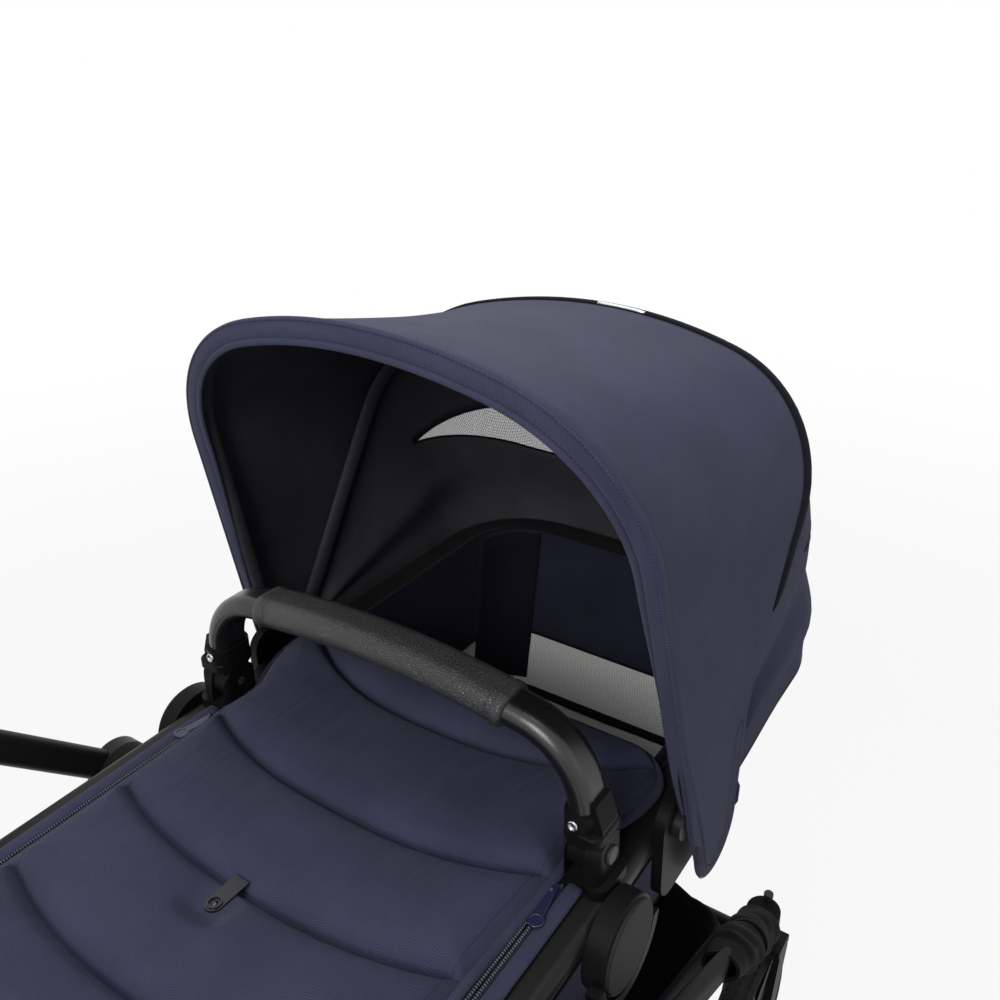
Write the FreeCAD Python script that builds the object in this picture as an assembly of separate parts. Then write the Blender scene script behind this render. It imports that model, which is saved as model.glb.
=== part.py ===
"""Baby stroller with a bassinet: one solid per real piece, in millimetres.

Frame: +Y is the way it travels, with the canopy at the front and the handlebar at the back, +Z is up.
All positions are first given from the carry handle's foot line, at y = 0, with z measured from the floor,
and the finished pieces are moved along Y so that the origin lies under the middle of the whole stroller.
"""

import FreeCAD, Part
import math
import os

V = FreeCAD.Vector

# Clearances
run_fit = 0.06
side_gap = 0.3
soft_gap = 0.3

# Bassinet rim: a closed hollow rail of flattened section
rim_height = 640.0
rim_half = 215.0
rim_head = 478.0
rim_foot = -408.0
rim_corner = 95.0
rim_width = 32.0
rim_depth = 22.0
rim_wall = 2.5
rim_edge_radius = 8.5
rim_top = rim_height + rim_depth / 2
rim_outer = rim_half + rim_width / 2
rim_inner = rim_half - rim_width / 2

# Bassinet body: a padded fabric tub hung inside the rim
tub_top = 14.0
tub_straight = -12.0
tub_bottom = -215.0
tub_wall = 10.0
tub_floor = 16.0
tub_taper = 21.0
tub_head_rake = 66.0
tub_foot_rake = 46.0
tub_bottom_corner = 70.0
mattress_thickness = 24.0

# Apron, its zips and the snap tab
apron_half = 187.0
apron_head = 148.0
apron_foot = -386.0
apron_thickness = 16.0
apron_corner = 58.0
apron_head_half = 208.0
apron_head_start = 34.0
apron_head_corner = 44.0
zip_width = 9.0
zip_thickness = 2.5
zip_start = -28.0
zip_end = -326.0
slider_length = 13.0
slider_height = 4.5
pull_length = 27.0
pull_width = 8.0
pull_ring_radius = 6.6
pull_dish_radius = 4.4
pull_dish_depth = 0.6
pull_turn = 9.0
pull_thickness = 2.2
tab_length = 34.0
tab_width = 15.0
tab_thickness = 1.6
tab_ring_radius = 5.8
tab_ring_width = 1.3
tab_ring_proud = 1.0
tab_x = -8.0
tab_y = -180.0

# Carry handle: an arch of flattened tube on two hinged feet
handle_half = 200.0
handle_width = 36.0
handle_thick = 22.0
handle_wall = 2.5
handle_rise = 154.0
handle_corner = 62.0
handle_crown = 900.0
grip_half = 134.0
grip_wall = 3.0
hinge_rise = 40.0
hinge_radius = 19.0
hinge_pin_radius = 4.0
ear_inner = 188.0
ear_thickness = 4.0
knuckle_width = 15.7
ear_outer = 222.0
saddle_length = 46.0
saddle_height = 6.0
adapter_base_half = 21.0
adapter_corner = 9.0
foot_sleeve_length = 23.0
foot_sleeve_wall = 3.0
foot_band_length = 9.0
foot_step = 1.0
latch_rise = 33.0
latch_half = 12.0
latch_blade = 3.0
handle_groove_count = 6
handle_groove_pitch = 3.0
handle_groove_width = 1.5
handle_groove_depth = 1.0
handle_groove_turn = 62.0
button_radius = 8.0
button_travel = 2.5
button_proud = 2.5
button_length = 5.5
button_well = button_length - button_proud + button_travel + 1.0  # how far the button's recess goes in

# Canopy: an arched fabric shell on a folding front bow and a fixed rear bow
canopy_pivot_y = 82.0
canopy_pivot_rise = 15.0
canopy_front_lean = -12.0
canopy_front_half = 240.0
canopy_front_apex = 425.0
canopy_front_flare = 16.0
canopy_front_corner = 160.0
canopy_front_crown = 450.0
canopy_rear_y = 129.0
canopy_rear_lean = 31.7
canopy_rear_half = 256.0
canopy_rear_apex = 421.0
canopy_rear_corner = 145.0
canopy_rear_crown = 540.0
canopy_cloth = 3.0
canopy_foot = 10.0
tip_drop = 92.0
tip_front_y = 93.0
tip_rear_y = 190.0
seam_y = 203.0
side_panel_rise = 112.0
back_end_half = 228.0
back_end_reach = 491.0
back_steps = 5
back_gap = 0.9
back_trim_y = 166.0
back_trim_rise = 52.0
flap_reach = 12.0
flap_fall = 2.4
binding_width = 7.0
binding_thickness = 4.0
binding_low = 150.0
bow_thickness = 4.0
bow_width = 8.0
front_bow_inset = 7.0
rear_bow_inset = 9.0
bow_boss_radius = 13.0
bow_pin_radius = 4.0
clamp_width = 10.0
clamp_start = 56.0
clamp_end = 150.0
clamp_below = 56.0
clamp_above = 40.0
seat_radius = 9.0

# Bassinet mounts: round drums on the rim that drop into cradles on the chassis
drum_y = -20.0
drum_drop = 20.0
drum_radius = 40.0
drum_length = 19.0
drum_cap_radius = 37.0
drum_cap_thickness = 3.0
cradle_wall = 9.0

# Chassis hub, where the front leg, rear leg and handlebar meet
hub_y = -75.0
hub_z = 576.0
hub_radius = 30.0
hub_relief = 6.0
hub_pin_radius = 8.0
hub_cap_radius = 22.0
hub_cap_thickness = 3.4
plate_inner = 240.0
plate_thickness = 18.0
rear_knuckle_width = 17.0
front_knuckle_width = 16.0
bar_knuckle_width = 16.0

# Tubes of the chassis, all of one flattened section
leg_width = 30.0
leg_thick = 16.0
leg_wall = 2.0

# Front wheels and castors
castor_y = 390.0
castor_half = 234.0
castor_trail = 35.0
rim_ring = 7.0
front_wheel_radius = 100.0
front_tyre_width = 38.0
front_tyre_depth = 17.0
front_web = 11.0
front_axle_radius = 5.0
fork_blade = 8.0
fork_gap = 4.0
fork_crown_z = 206.0
fork_crown_height = 10.0
stem_radius = 9.0
housing_radius = 21.0
housing_height = 42.0
lock_pin_radius = 3.0
lock_pin_offset = 14.5
lock_travel = 5.0
lock_knob_radius = 6.0
lock_knob_height = 6.0
crossbar_radius = 9.0
crossbar_along = 488.0

# Rear wheels, axle and brake
rear_axle_y = -290.0
rear_wheel_radius = 147.0
rear_tyre_width = 42.0
rear_tyre_depth = 22.0
rear_web = 15.0
rear_wheel_inner = 270.0
rear_leg_foot_half = 250.0
rear_axle_radius = 6.0
axle_block_radius = 27.0
axle_block_inner = 240.0
axle_block_width = 27.0
axle_bar_radius = 11.0
axle_bar_wall = 2.0
brake_pin_radius = 4.0
brake_pin_offset = 32.0
brake_travel = 8.0
brake_sockets = 12
socket_clearance = 1.2
pedal_half = 34.0
pedal_reach = 58.0
pedal_sleeve_wall = 5.0
pedal_thickness = 5.0

# Handlebar: two fixed tubes, a telescoping upper bow, clamps and fold sliders
bar_reach = 665.0
bar_rise = 464.0
bar_lower_length = 450.0
bar_upper_start = 270.0
bar_bend = 62.0
bar_fit = 0.3
bar_grip_radius = 16.5
bar_grip_half = 205.0
collar_length = 36.0
collar_wall = 4.0
lever_length = 44.0
lever_width = 12.0
lever_thickness = 5.0
lever_hinge_radius = 6.0
lever_pin_radius = 2.5
slider_ring_length = 46.0
slider_ring_wall = 4.0
slider_ring_at = 215.0

# Basket under the bassinet
basket_bottom = 188.0
basket_rim = 452.0
basket_bottom_half = 214.0
basket_top_half = 236.0
basket_back = -246.0
basket_front = 300.0
basket_fall_start = 10.0
basket_front_rim = 338.0
basket_front_crown = 378.0
basket_back_rim = 322.0
basket_taper = 34.0
basket_cloth = 3.0
basket_corner = 48.0
loop_length = 80.0
loop_cloth = 2.5
loop_along = 384.0
strap_width = 24.0
strap_cloth = 1.5
strap_lap = 42.0

# Values that follow from the ones above
hub_plate_outer = plate_inner + plate_thickness
rear_knuckle_inner = hub_plate_outer + side_gap
rear_knuckle_outer = rear_knuckle_inner + rear_knuckle_width
front_knuckle_inner = rear_knuckle_outer + side_gap
front_knuckle_outer = front_knuckle_inner + front_knuckle_width
bar_knuckle_inner = front_knuckle_outer + side_gap
bar_knuckle_outer = bar_knuckle_inner + bar_knuckle_width
bar_half = (bar_knuckle_inner + bar_knuckle_outer) / 2
bar_run = -math.sqrt(bar_reach ** 2 - bar_rise ** 2)
bar_direction = V(0, bar_run, bar_rise).normalize()
bar_up = V(0, bar_rise, -bar_run).normalize()
rear_axle = V(0, rear_axle_y, rear_wheel_radius)
front_axle = V(0, castor_y - castor_trail, front_wheel_radius)
housing_bottom = fork_crown_z + fork_crown_height + side_gap
housing_top = housing_bottom + housing_height
leg_front_end = V(castor_half, castor_y, housing_bottom + housing_height / 2)
rear_most = hub_y + bar_run - bar_grip_radius
front_most = rim_head + rim_width / 2
origin_y = (rear_most + front_most) / 2


# ---------------------------------------------------------------- general forms


def box(x0, x1, y0, y1, z0, z1):
    return Part.makeBox(x1 - x0, y1 - y0, z1 - z0, V(x0, y0, z0))


def rod(radius, start, end):
    return Part.makeCylinder(radius, (end - start).Length, start, end - start)


def disc_x(radius, x0, x1, y, z):
    return Part.makeCylinder(radius, x1 - x0, V(x0, y, z), V(1, 0, 0))


def mirrored(shape):
    return shape.mirror(V(0, 0, 0), V(1, 0, 0))


def both_sides(shape):
    return Part.makeCompound([shape, mirrored(shape)])


def joined(first, *others):
    shape = first
    for other in others:
        shape = shape.fuse(other)
    return shape.removeSplitter()


def rounded_outline(half, y0, y1, corner, z):
    """A closed wire at height z: a rectangle from -half to half and y0 to y1 with round corners."""
    c = corner * math.sqrt(0.5)
    edges = []
    corners = [(half, y1, -1, -1), (-half, y1, 1, -1), (-half, y0, 1, 1), (half, y0, -1, 1)]
    starts = []
    for index, (x, y, sx, sy) in enumerate(corners):
        center = V(x + sx * corner, y + sy * corner, z)
        on_x = V(x, center.y, z)
        on_y = V(center.x, y, z)
        middle = V(center.x - sx * c, center.y - sy * c, z)
        first, last = (on_x, on_y) if index % 2 == 0 else (on_y, on_x)
        starts.append((first, last))
        edges.append(Part.Arc(first, middle, last).toShape())
    for index in range(4):
        edges.append(Part.LineSegment(starts[index][1], starts[(index + 1) % 4][0]).toShape())
    return Part.Wire(Part.__sortEdges__(edges))


def slab(half, y0, y1, corner, z0, z1):
    return Part.Face(rounded_outline(half, y0, y1, corner, z0)).extrude(V(0, 0, z1 - z0))


def flat_oval(center, long_axis, thin_axis, width, thick):
    """A closed wire of flattened tube section: two straight sides joined by half circles."""
    r = thick / 2
    a = (width / 2 - r)
    along, across = long_axis * a, thin_axis * r
    tip = long_axis * (width / 2)
    p = [center + along + across, center - along + across, center - along - across, center + along - across]
    edges = [
        Part.LineSegment(p[0], p[1]).toShape(),
        Part.Arc(p[1], center - tip, p[2]).toShape(),
        Part.LineSegment(p[2], p[3]).toShape(),
        Part.Arc(p[3], center + tip, p[0]).toShape(),
    ]
    return Part.Wire(edges)


def oval_bar(start, end, width, thick):
    """A straight bar of flattened section, its thin side as near to X as its run allows."""
    run = end - start
    along = V(run).normalize()
    long_axis = V(1, 0, 0).cross(along).normalize()
    thin_axis = along.cross(long_axis)
    return Part.Face(flat_oval(start, long_axis, thin_axis, width, thick)).extrude(run)


def link_plate(first, first_radius, second, second_radius, x0, x1):
    """A plate across X whose outline is two circles, given by their y and z, and their outer tangents."""
    dy, dz = second[0] - first[0], second[1] - first[1]
    length = math.hypot(dy, dz)
    base = math.atan2(dz, dy)
    lean = math.acos((first_radius - second_radius) / length)
    points = []
    for center, radius, turn in (
        (first, first_radius, lean),
        (second, second_radius, lean),
        (second, second_radius, -lean),
        (first, first_radius, -lean),
    ):
        angle = base + turn
        points.append(V(x0, center[0] + radius * math.cos(angle), center[1] + radius * math.sin(angle)))
    web = Part.Face(Part.makePolygon(points + points[:1])).extrude(V(x1 - x0, 0, 0))
    ends = [disc_x(first_radius, x0, x1, *first), disc_x(second_radius, x0, x1, *second)]
    return joined(web, *ends)


# ---------------------------------------------------------------- bassinet


def rim_loop(inset):
    """The rail's solid loop, its walls moved in by inset all round."""
    z0 = rim_height - rim_depth / 2 + inset
    z1 = rim_height + rim_depth / 2 - inset
    w = rim_width / 2 - inset
    outer = slab(rim_half + w, rim_foot - w, rim_head + w, rim_corner + w, z0, z1)
    inner = slab(rim_half - w, rim_foot + w, rim_head - w, rim_corner - w, z0, z1)
    loop = outer.cut(inner)
    round_edges = [e for e in loop.Edges if abs(e.BoundBox.ZLength) < 1e-6]
    return loop.makeFillet(rim_edge_radius - inset, round_edges)


def bassinet_rim():
    return rim_loop(0).cut(rim_loop(rim_wall))


def tub_level(rise, inset):
    """The tub's half width, foot and head ends and corner at a rise above the rim's centre plane."""
    t = max(0, (tub_straight - rise) / (tub_straight - tub_bottom))
    half = rim_inner - soft_gap - t * tub_taper - inset
    foot = rim_foot + rim_width / 2 + soft_gap + t * tub_foot_rake + inset
    head = rim_head - rim_width / 2 - soft_gap - t * tub_head_rake - inset
    top_corner = rim_corner - rim_width / 2
    corner = top_corner + t * (tub_bottom_corner - top_corner) - inset
    return half, foot, head, corner


def tub_solid(low, high, inset):
    levels = [low, tub_straight, high] if low < tub_straight < high else [low, high]
    wires = [rounded_outline(*tub_level(rise, inset), rim_height + rise) for rise in levels]
    return Part.makeLoft(wires, True, True)


def bassinet_tub():
    return tub_solid(tub_bottom, tub_top, 0).cut(tub_solid(tub_bottom + tub_floor, tub_top + 1, tub_wall))


def mattress():
    low = tub_bottom + tub_floor + soft_gap
    return tub_solid(low, low + mattress_thickness, tub_wall + 1.5)


def apron():
    """The quilted cover, whose head end spreads over the rim behind the carry handle's feet."""
    low = rim_height + tub_top + soft_gap
    top = low + apron_thickness
    pad = slab(apron_half, apron_foot, apron_head, apron_corner, low, top)
    head = slab(apron_head_half, apron_head_start, apron_head, apron_head_corner, low, top)
    pad = joined(pad, head)
    top_edges = [e for e in pad.Edges if e.BoundBox.ZMin > top - 1e-6]
    return pad.makeFillet(apron_thickness * 0.6, top_edges)


def zip_level():
    return rim_height + tub_top


def zip_center():
    return apron_half + soft_gap + zip_width / 2 + 0.5


def apron_zips():
    x0 = zip_center() - zip_width / 2
    strip = box(x0, x0 + zip_width, zip_end, zip_start, zip_level(), zip_level() + zip_thickness)
    return both_sides(strip)


def zip_slider():
    """The slider over the teeth and its pull, which lies back over the tape and leans outwards."""
    low = zip_level() + zip_thickness + side_gap
    y1 = zip_start - 3
    x = zip_center()
    body = box(x - 3.4, x + 3.4, y1 - slider_length, y1, low, low + slider_height)
    body = body.makeFillet(1.4, [e for e in body.Edges if e.BoundBox.ZLength > slider_height - 0.1])
    bridge = disc_x(slider_height - 1.5, x - 1.1, x + 1.1, y1 - slider_length / 2, low + slider_height - 1)
    y_eye = y1 - slider_length + 3
    y_end = y_eye - pull_length
    pull_low = low + slider_height - pull_thickness
    top = pull_low + pull_thickness
    blade = box(x - pull_width / 2, x + pull_width / 2, y_end, y_eye, pull_low, top)
    ring = Part.makeCylinder(pull_ring_radius, pull_thickness, V(x, y_end, pull_low))
    dish = Part.makeCylinder(pull_dish_radius, pull_dish_depth + 1, V(x, y_end, top - pull_dish_depth))
    pull = joined(blade, ring).cut(dish)
    pull = pull.makeFillet(0.5, [e for e in pull.Edges if e.BoundBox.ZMin > top - 1e-6])
    pull.rotate(V(x, y_eye, 0), V(0, 0, 1), pull_turn)
    return joined(body, bridge, pull)


def apron_tab():
    """The snap tab: a plate with one round end, and a raised ring round its stud."""
    low = rim_height + tub_top + soft_gap + apron_thickness
    top = low + tab_thickness
    y0 = tab_y - tab_length / 2
    plate = box(-tab_width / 2, tab_width / 2, y0, y0 + tab_length, low, top)
    upright = [e for e in plate.Edges if e.BoundBox.ZLength > tab_thickness - 0.1]
    plate = plate.makeFillet(tab_width / 2 - 0.2, [e for e in upright if e.BoundBox.YMin < tab_y])
    center = V(0, y0 + tab_width / 2, top - 0.4)
    ring = Part.makeCylinder(tab_ring_radius, tab_ring_proud + 0.4, center)
    dish = Part.makeCylinder(tab_ring_radius - tab_ring_width, tab_ring_proud + 1, center)
    stud = Part.makeSphere(tab_ring_radius / 2, center - V(0, 0, tab_ring_radius / 4))
    stud = stud.cut(box(-tab_width, tab_width, y0 - 5, y0 + tab_length, low - 20, center.z - 0.2))
    tab = joined(plate, ring).cut(dish)
    tab = joined(tab, stud)
    tab.translate(V(tab_x, 0, 0))
    return tab


# ---------------------------------------------------------------- carry handle


def handle_corner_z():
    """The height of the bends' centres, where each corner arc meets its straight leg."""
    reach = handle_crown - handle_corner
    drop = math.sqrt(reach ** 2 - (handle_half - handle_corner) ** 2)
    return rim_height + handle_rise - handle_crown + drop


def handle_path(low_rise):
    """The arch's centre line: a straight leg, a corner arc, the crowned top and the same again."""
    crown_z = rim_height + handle_rise - handle_crown
    dx = handle_half - handle_corner
    reach = handle_crown - handle_corner
    corner_z = handle_corner_z()
    unit = V(dx, 0, corner_z - crown_z) * (1 / reach)
    touch = V(0, 0, crown_z) + unit * handle_crown
    turn = (math.pi / 2 - math.atan2(dx, corner_z - crown_z)) / 2
    bend = V(dx + handle_corner * math.cos(turn), 0, corner_z + handle_corner * math.sin(turn))
    side = V(handle_half, 0, corner_z)
    foot = V(handle_half, 0, rim_height + low_rise)
    flip = [V(-p.x, p.y, p.z) for p in (touch, bend, side, foot)]
    top = V(0, 0, rim_height + handle_rise)
    edges = [
        Part.LineSegment(foot, side).toShape(),
        Part.Arc(side, bend, touch).toShape(),
        Part.Arc(touch, top, flip[0]).toShape(),
        Part.Arc(flip[0], flip[1], flip[2]).toShape(),
        Part.LineSegment(flip[2], flip[3]).toShape(),
    ]
    return Part.Wire(edges)


def swept(path, center, long_axis, thin_axis, width, thick):
    profile = flat_oval(center, long_axis, thin_axis, width, thick)
    return path.makePipeShell([profile], True, False)


def carry_handle():
    low_rise = hinge_rise + hinge_radius + 4
    path = handle_path(low_rise)
    foot = V(handle_half, 0, rim_height + low_rise)
    outer = swept(path, foot, V(0, 1, 0), V(1, 0, 0), handle_width, handle_thick)
    bore_width = handle_width - 2 * handle_wall
    bore_thick = handle_thick - 2 * handle_wall
    inner = swept(path, foot, V(0, 1, 0), V(1, 0, 0), bore_width, bore_thick)
    return outer.cut(inner).cut(handle_grooves())


def handle_grooves():
    """What is cut from the inside of each bend: a set of narrow grooves that follow it."""
    inner = handle_corner - handle_thick / 2
    center = V(handle_half - handle_corner, 0, handle_corner_z())
    cutters = []
    for index in range(handle_groove_count):
        y = (index - (handle_groove_count - 1) / 2) * handle_groove_pitch - handle_groove_width / 2
        base = center + V(0, y, 0)
        turn = handle_groove_turn
        ring = Part.makeCylinder(inner + handle_groove_depth, handle_groove_width, base, V(0, 1, 0), turn)
        ring = ring.cut(Part.makeCylinder(inner - 2, handle_groove_width, base, V(0, 1, 0), turn))
        ring.rotate(center, V(0, 1, 0), -turn - 4)
        cutters += [ring, mirrored(ring)]
    return Part.makeCompound(cutters)


def carry_grip():
    """The padded sleeve along the crowned top of the carry handle."""
    crown_z = rim_height + handle_rise - handle_crown
    turn = math.asin(grip_half / handle_crown)
    start = V(grip_half, 0, crown_z + handle_crown * math.cos(turn))
    arc = Part.Arc(start, V(0, 0, rim_height + handle_rise), V(-start.x, 0, start.z))
    path = Part.Wire([arc.toShape()])
    radial = V(math.sin(turn), 0, math.cos(turn))
    gap = 2 * (grip_wall + run_fit)
    outer = swept(path, start, V(0, 1, 0), radial, handle_width + gap, handle_thick + gap)
    inner = swept(path, start, V(0, 1, 0), radial, handle_width + 2 * run_fit, handle_thick + 2 * run_fit)
    return outer.cut(inner)


def hinge_z():
    return rim_height + hinge_rise


def knuckle_span():
    inner = ear_inner + ear_thickness + side_gap
    return inner, inner + knuckle_width


def adapter_block(z0, z1):
    """The rounded block that the fixed and the moving foot are both cut from."""
    block = slab((ear_outer - ear_inner) / 2, -adapter_base_half, adapter_base_half, adapter_corner, z0, z1)
    block.translate(V((ear_outer + ear_inner) / 2, 0, 0))
    return block


def handle_adapter():
    """The foot on the rim: a saddle, a body that narrows to its hinge, the slot and the button's recess."""
    z = hinge_z()
    low = rim_top + saddle_height
    saddle_x = (rim_inner + rim_outer) / 2 + 3
    saddle_outline = flat_oval(V(saddle_x, 0, rim_top), V(0, 1, 0), V(1, 0, 0), saddle_length, rim_width - 10)
    saddle = Part.Face(saddle_outline)
    saddle = saddle.extrude(V(0, 0, saddle_height + 3))
    rise = z - low
    turn = math.acos(hinge_radius / math.hypot(adapter_base_half, rise)) - math.atan2(rise, adapter_base_half)
    touch_y, touch_z = hinge_radius * math.cos(turn), z + hinge_radius * math.sin(turn)
    corners = [(-adapter_base_half, low), (adapter_base_half, low), (touch_y, touch_z), (-touch_y, touch_z)]
    points = [V(ear_inner, y, level) for y, level in corners]
    trunk = Part.Face(Part.makePolygon(points + points[:1])).extrude(V(ear_outer - ear_inner, 0, 0))
    head = disc_x(hinge_radius, ear_inner, ear_outer, 0, z)
    body = joined(trunk, head).common(adapter_block(low, z + hinge_radius))
    knuckle_in, knuckle_out = knuckle_span()
    slot_low = z - hinge_radius - 1
    slot = box(knuckle_in - side_gap, knuckle_out + side_gap, -50, 50, slot_low, z + hinge_radius + 1)
    adapter = joined(saddle, body.cut(slot))
    adapter = adapter.cut(disc_x(hinge_pin_radius + 0.03, ear_inner - 1, ear_outer, 0, z))
    recess = ear_outer - button_well
    return adapter.cut(disc_x(button_radius + side_gap, recess, ear_outer + 1, 0, z))


def handle_pins():
    end = ear_outer - button_well
    return both_sides(disc_x(hinge_pin_radius, ear_inner, end - side_gap, 0, hinge_z()))


def handle_button():
    face = ear_outer + button_proud
    button = disc_x(button_radius, face - button_length, face, 0, hinge_z())
    rim_edges = [e for e in button.Edges if e.BoundBox.XMin > face - 1e-6]
    return button.makeFillet(1.2, rim_edges)


def handle_foot():
    """The moving foot: a knuckle in the slot, a band over the ears, a sleeve and an outer latch."""
    z = hinge_z()
    x0, x1 = knuckle_span()
    low = z + hinge_radius - foot_step
    band_top = low + foot_band_length
    top = low + foot_sleeve_length
    wide = handle_width + 2 * foot_sleeve_wall
    thick = handle_thick + 2 * foot_sleeve_wall
    band = adapter_block(low, band_top)
    rims = [e for e in band.Edges if e.BoundBox.ZMin > band_top - 1e-6]
    band = band.makeFillet(2, rims)
    sleeve = Part.Face(flat_oval(V(handle_half, 0, low), V(0, 1, 0), V(1, 0, 0), wide, thick))
    sleeve = sleeve.extrude(V(0, 0, top - low))
    corners = [(handle_half, band_top - 3), (ear_outer - 1, band_top - 3), (ear_outer - 1, band_top + 4)]
    corners += [(handle_half + handle_thick / 2 + latch_blade, low + latch_rise)]
    corners += [(handle_half, low + latch_rise)]
    points = [V(x, -latch_half, level) for x, level in corners]
    latch = Part.Face(Part.makePolygon(points + points[:1])).extrude(V(0, 2 * latch_half, 0))
    knuckle_space = disc_x(hinge_radius + side_gap, ear_inner - 1, ear_outer + 1, 0, z)
    upper = joined(band, sleeve, latch).cut(knuckle_space)
    knuckle = disc_x(hinge_radius - 2, x0, x1, 0, z)
    neck = box(x0, x1, 4 - hinge_radius, hinge_radius - 4, z, low + 4)
    foot = joined(upper, knuckle, neck).cut(handle_bore())
    return foot.cut(disc_x(hinge_pin_radius + run_fit, x0 - 1, x1 + 1, 0, z))


def handle_bore():
    """The tube's room in its foot, a light fit round the straight leg and the start of the bend."""
    path = handle_path(hinge_rise + hinge_radius + 4)
    start = V(handle_half, 0, hinge_z() + hinge_radius + 4)
    return swept(path, start, V(0, 1, 0), V(1, 0, 0), handle_width + 0.1, handle_thick + 0.1)


# ---------------------------------------------------------------- canopy


def arch_section(lean, y, rise, half, apex, corner, crown, flare, foot, inset):
    """A closed arch in a plane leaning back from (y, rise): straight sides, corner arcs and a crown."""
    a = math.radians(lean)

    def at(x, s):
        return V(x, y + s * math.sin(a), rim_height + rise + s * math.cos(a))

    half, apex, corner, crown = half - inset, apex - inset, corner - inset, crown - inset
    center_x = half - corner
    crown_s = apex - crown
    corner_s = crown_s + math.sqrt((crown - corner) ** 2 - center_x ** 2)
    scale = crown / (crown - corner)
    touch = (center_x * scale, crown_s + (corner_s - crown_s) * scale)
    turn = math.atan2(touch[1] - corner_s, touch[0] - center_x) / 2
    bend = (center_x + corner * math.cos(turn), corner_s + corner * math.sin(turn))
    edges = [
        Part.LineSegment(at(half + flare, foot), at(half, corner_s)).toShape(),
        Part.Arc(at(half, corner_s), at(*bend), at(*touch)).toShape(),
        Part.Arc(at(*touch), at(0, apex), at(-touch[0], touch[1])).toShape(),
        Part.Arc(at(-touch[0], touch[1]), at(-bend[0], bend[1]), at(-half, corner_s)).toShape(),
        Part.LineSegment(at(-half, corner_s), at(-half - flare, foot)).toShape(),
        Part.LineSegment(at(-half - flare, foot), at(half + flare, foot)).toShape(),
    ]
    return Part.Wire(edges)


def front_arch(inset, foot=canopy_foot):
    return arch_section(canopy_front_lean, canopy_pivot_y, canopy_pivot_rise, canopy_front_half,
                        canopy_front_apex, canopy_front_corner, canopy_front_crown, canopy_front_flare,
                        foot, inset)


def rear_arch(inset, foot=canopy_foot, back=0.0, fall=0.0):
    """The arch of the flap line; back and fall move it on, along the top panel's run."""
    arch = arch_section(canopy_rear_lean, canopy_rear_y, 0, canopy_rear_half, canopy_rear_apex,
                        canopy_rear_corner, canopy_rear_crown, 0, foot, inset)
    arch.translate(V(0, back, -fall))
    return arch


def back_arch(t, inset, foot=canopy_foot):
    """The rear panel's arch, from the flap line at t = 0 to the rim's head end at t = 1."""
    lean = canopy_rear_lean + t * (90 - canopy_rear_lean)
    rise = t * (rim_depth / 2 + soft_gap)
    half = canopy_rear_half + t * t * (back_end_half - canopy_rear_half)
    apex = canopy_rear_apex + t ** 1.2 * (back_end_reach - canopy_rear_y - canopy_rear_apex)
    corner = canopy_rear_corner + t * (rim_corner - canopy_rear_corner)
    return arch_section(lean, canopy_rear_y, rise, half, apex, corner, canopy_rear_crown, 0, foot, inset)


def cloth_shell(sections, cloth, ruled):
    """An open shell through the given arches, cloth thick."""
    outer = Part.makeLoft([section(0) for section in sections], True, ruled)
    inner = Part.makeLoft([section(cloth, canopy_foot - 30) for section in sections], True, ruled)
    return outer.cut(inner)


def hem_point(along, offset=0.0):
    """The y and z of a point on the front hem's side edge, along from the pivot."""
    a = math.radians(canopy_front_lean)
    return canopy_pivot_y + along * math.sin(a) + offset, rim_height + canopy_pivot_rise + along * math.cos(a)


def side_panel():
    """The top panel's side below the flap, down to its rounded tip outside the rail."""
    x1 = canopy_rear_half
    z = rim_height
    low_y = (tip_front_y + tip_rear_y) / 2 + 6

    def at(y, rise):
        return V(x1, y, z + rise)

    hem_top = V(x1, *hem_point(side_panel_rise, 2.0))
    hem_low = V(x1, *hem_point(canopy_foot))
    front = at(tip_front_y, -tip_drop + 34)
    rear = at(tip_rear_y, -tip_drop + 46)
    seam_a = at(tip_rear_y, 60)
    seam_b = at(seam_y, side_panel_rise)
    edges = [
        Part.LineSegment(hem_top, hem_low).toShape(),
        Part.LineSegment(hem_low, front).toShape(),
        Part.Arc(front, at(low_y, -tip_drop), rear).toShape(),
        Part.LineSegment(rear, seam_a).toShape(),
        Part.LineSegment(seam_a, seam_b).toShape(),
        Part.LineSegment(seam_b, hem_top).toShape(),
    ]
    return Part.Face(Part.Wire(edges)).extrude(V(-canopy_cloth, 0, 0))


def flap_edge(inset, foot=canopy_foot):
    return rear_arch(inset, foot, flap_reach, flap_fall)


def canopy_top():
    """The top panel from the front hem to its loose rear flap, with its two side panels."""
    shell = cloth_shell([front_arch, flap_edge], canopy_cloth, True)
    panel = side_panel()
    low = box(-400, 400, canopy_rear_y - 60, 600, rim_height - 20, rim_height + side_panel_rise)
    return joined(shell.cut(low), panel, mirrored(panel))


def canopy_binding():
    """The bound edge of the flap, which stands off over the rear panel."""
    proud = (binding_thickness - canopy_cloth) / 2
    y0, y1 = flap_reach + soft_gap, flap_reach + soft_gap + binding_width
    slope = flap_fall / flap_reach

    def ring(inset, foot):
        wires = [rear_arch(inset, foot, y, y * slope) for y in (y0, y1)]
        return Part.makeLoft(wires, True, True)

    band = ring(-proud, canopy_foot).cut(ring(binding_thickness - proud, canopy_foot - 30))
    return band.cut(box(-400, 400, -100, 600, rim_height - 40, rim_height + binding_low))


def back_inset():
    return canopy_cloth + back_gap


def canopy_back():
    """The fixed rear panel, from under the flap down to the head end of the rim."""

    def section(t):
        return lambda inset, foot=canopy_foot: back_arch(t, inset + back_inset(), foot)

    shell = cloth_shell([section(step / (back_steps - 1)) for step in range(back_steps)], canopy_cloth, False)
    shell = max(shell.Solids, key=lambda solid: solid.Volume)
    return shell.cut(box(-400, 400, 0, back_trim_y, rim_height - 60, rim_height + back_trim_rise))


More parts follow.
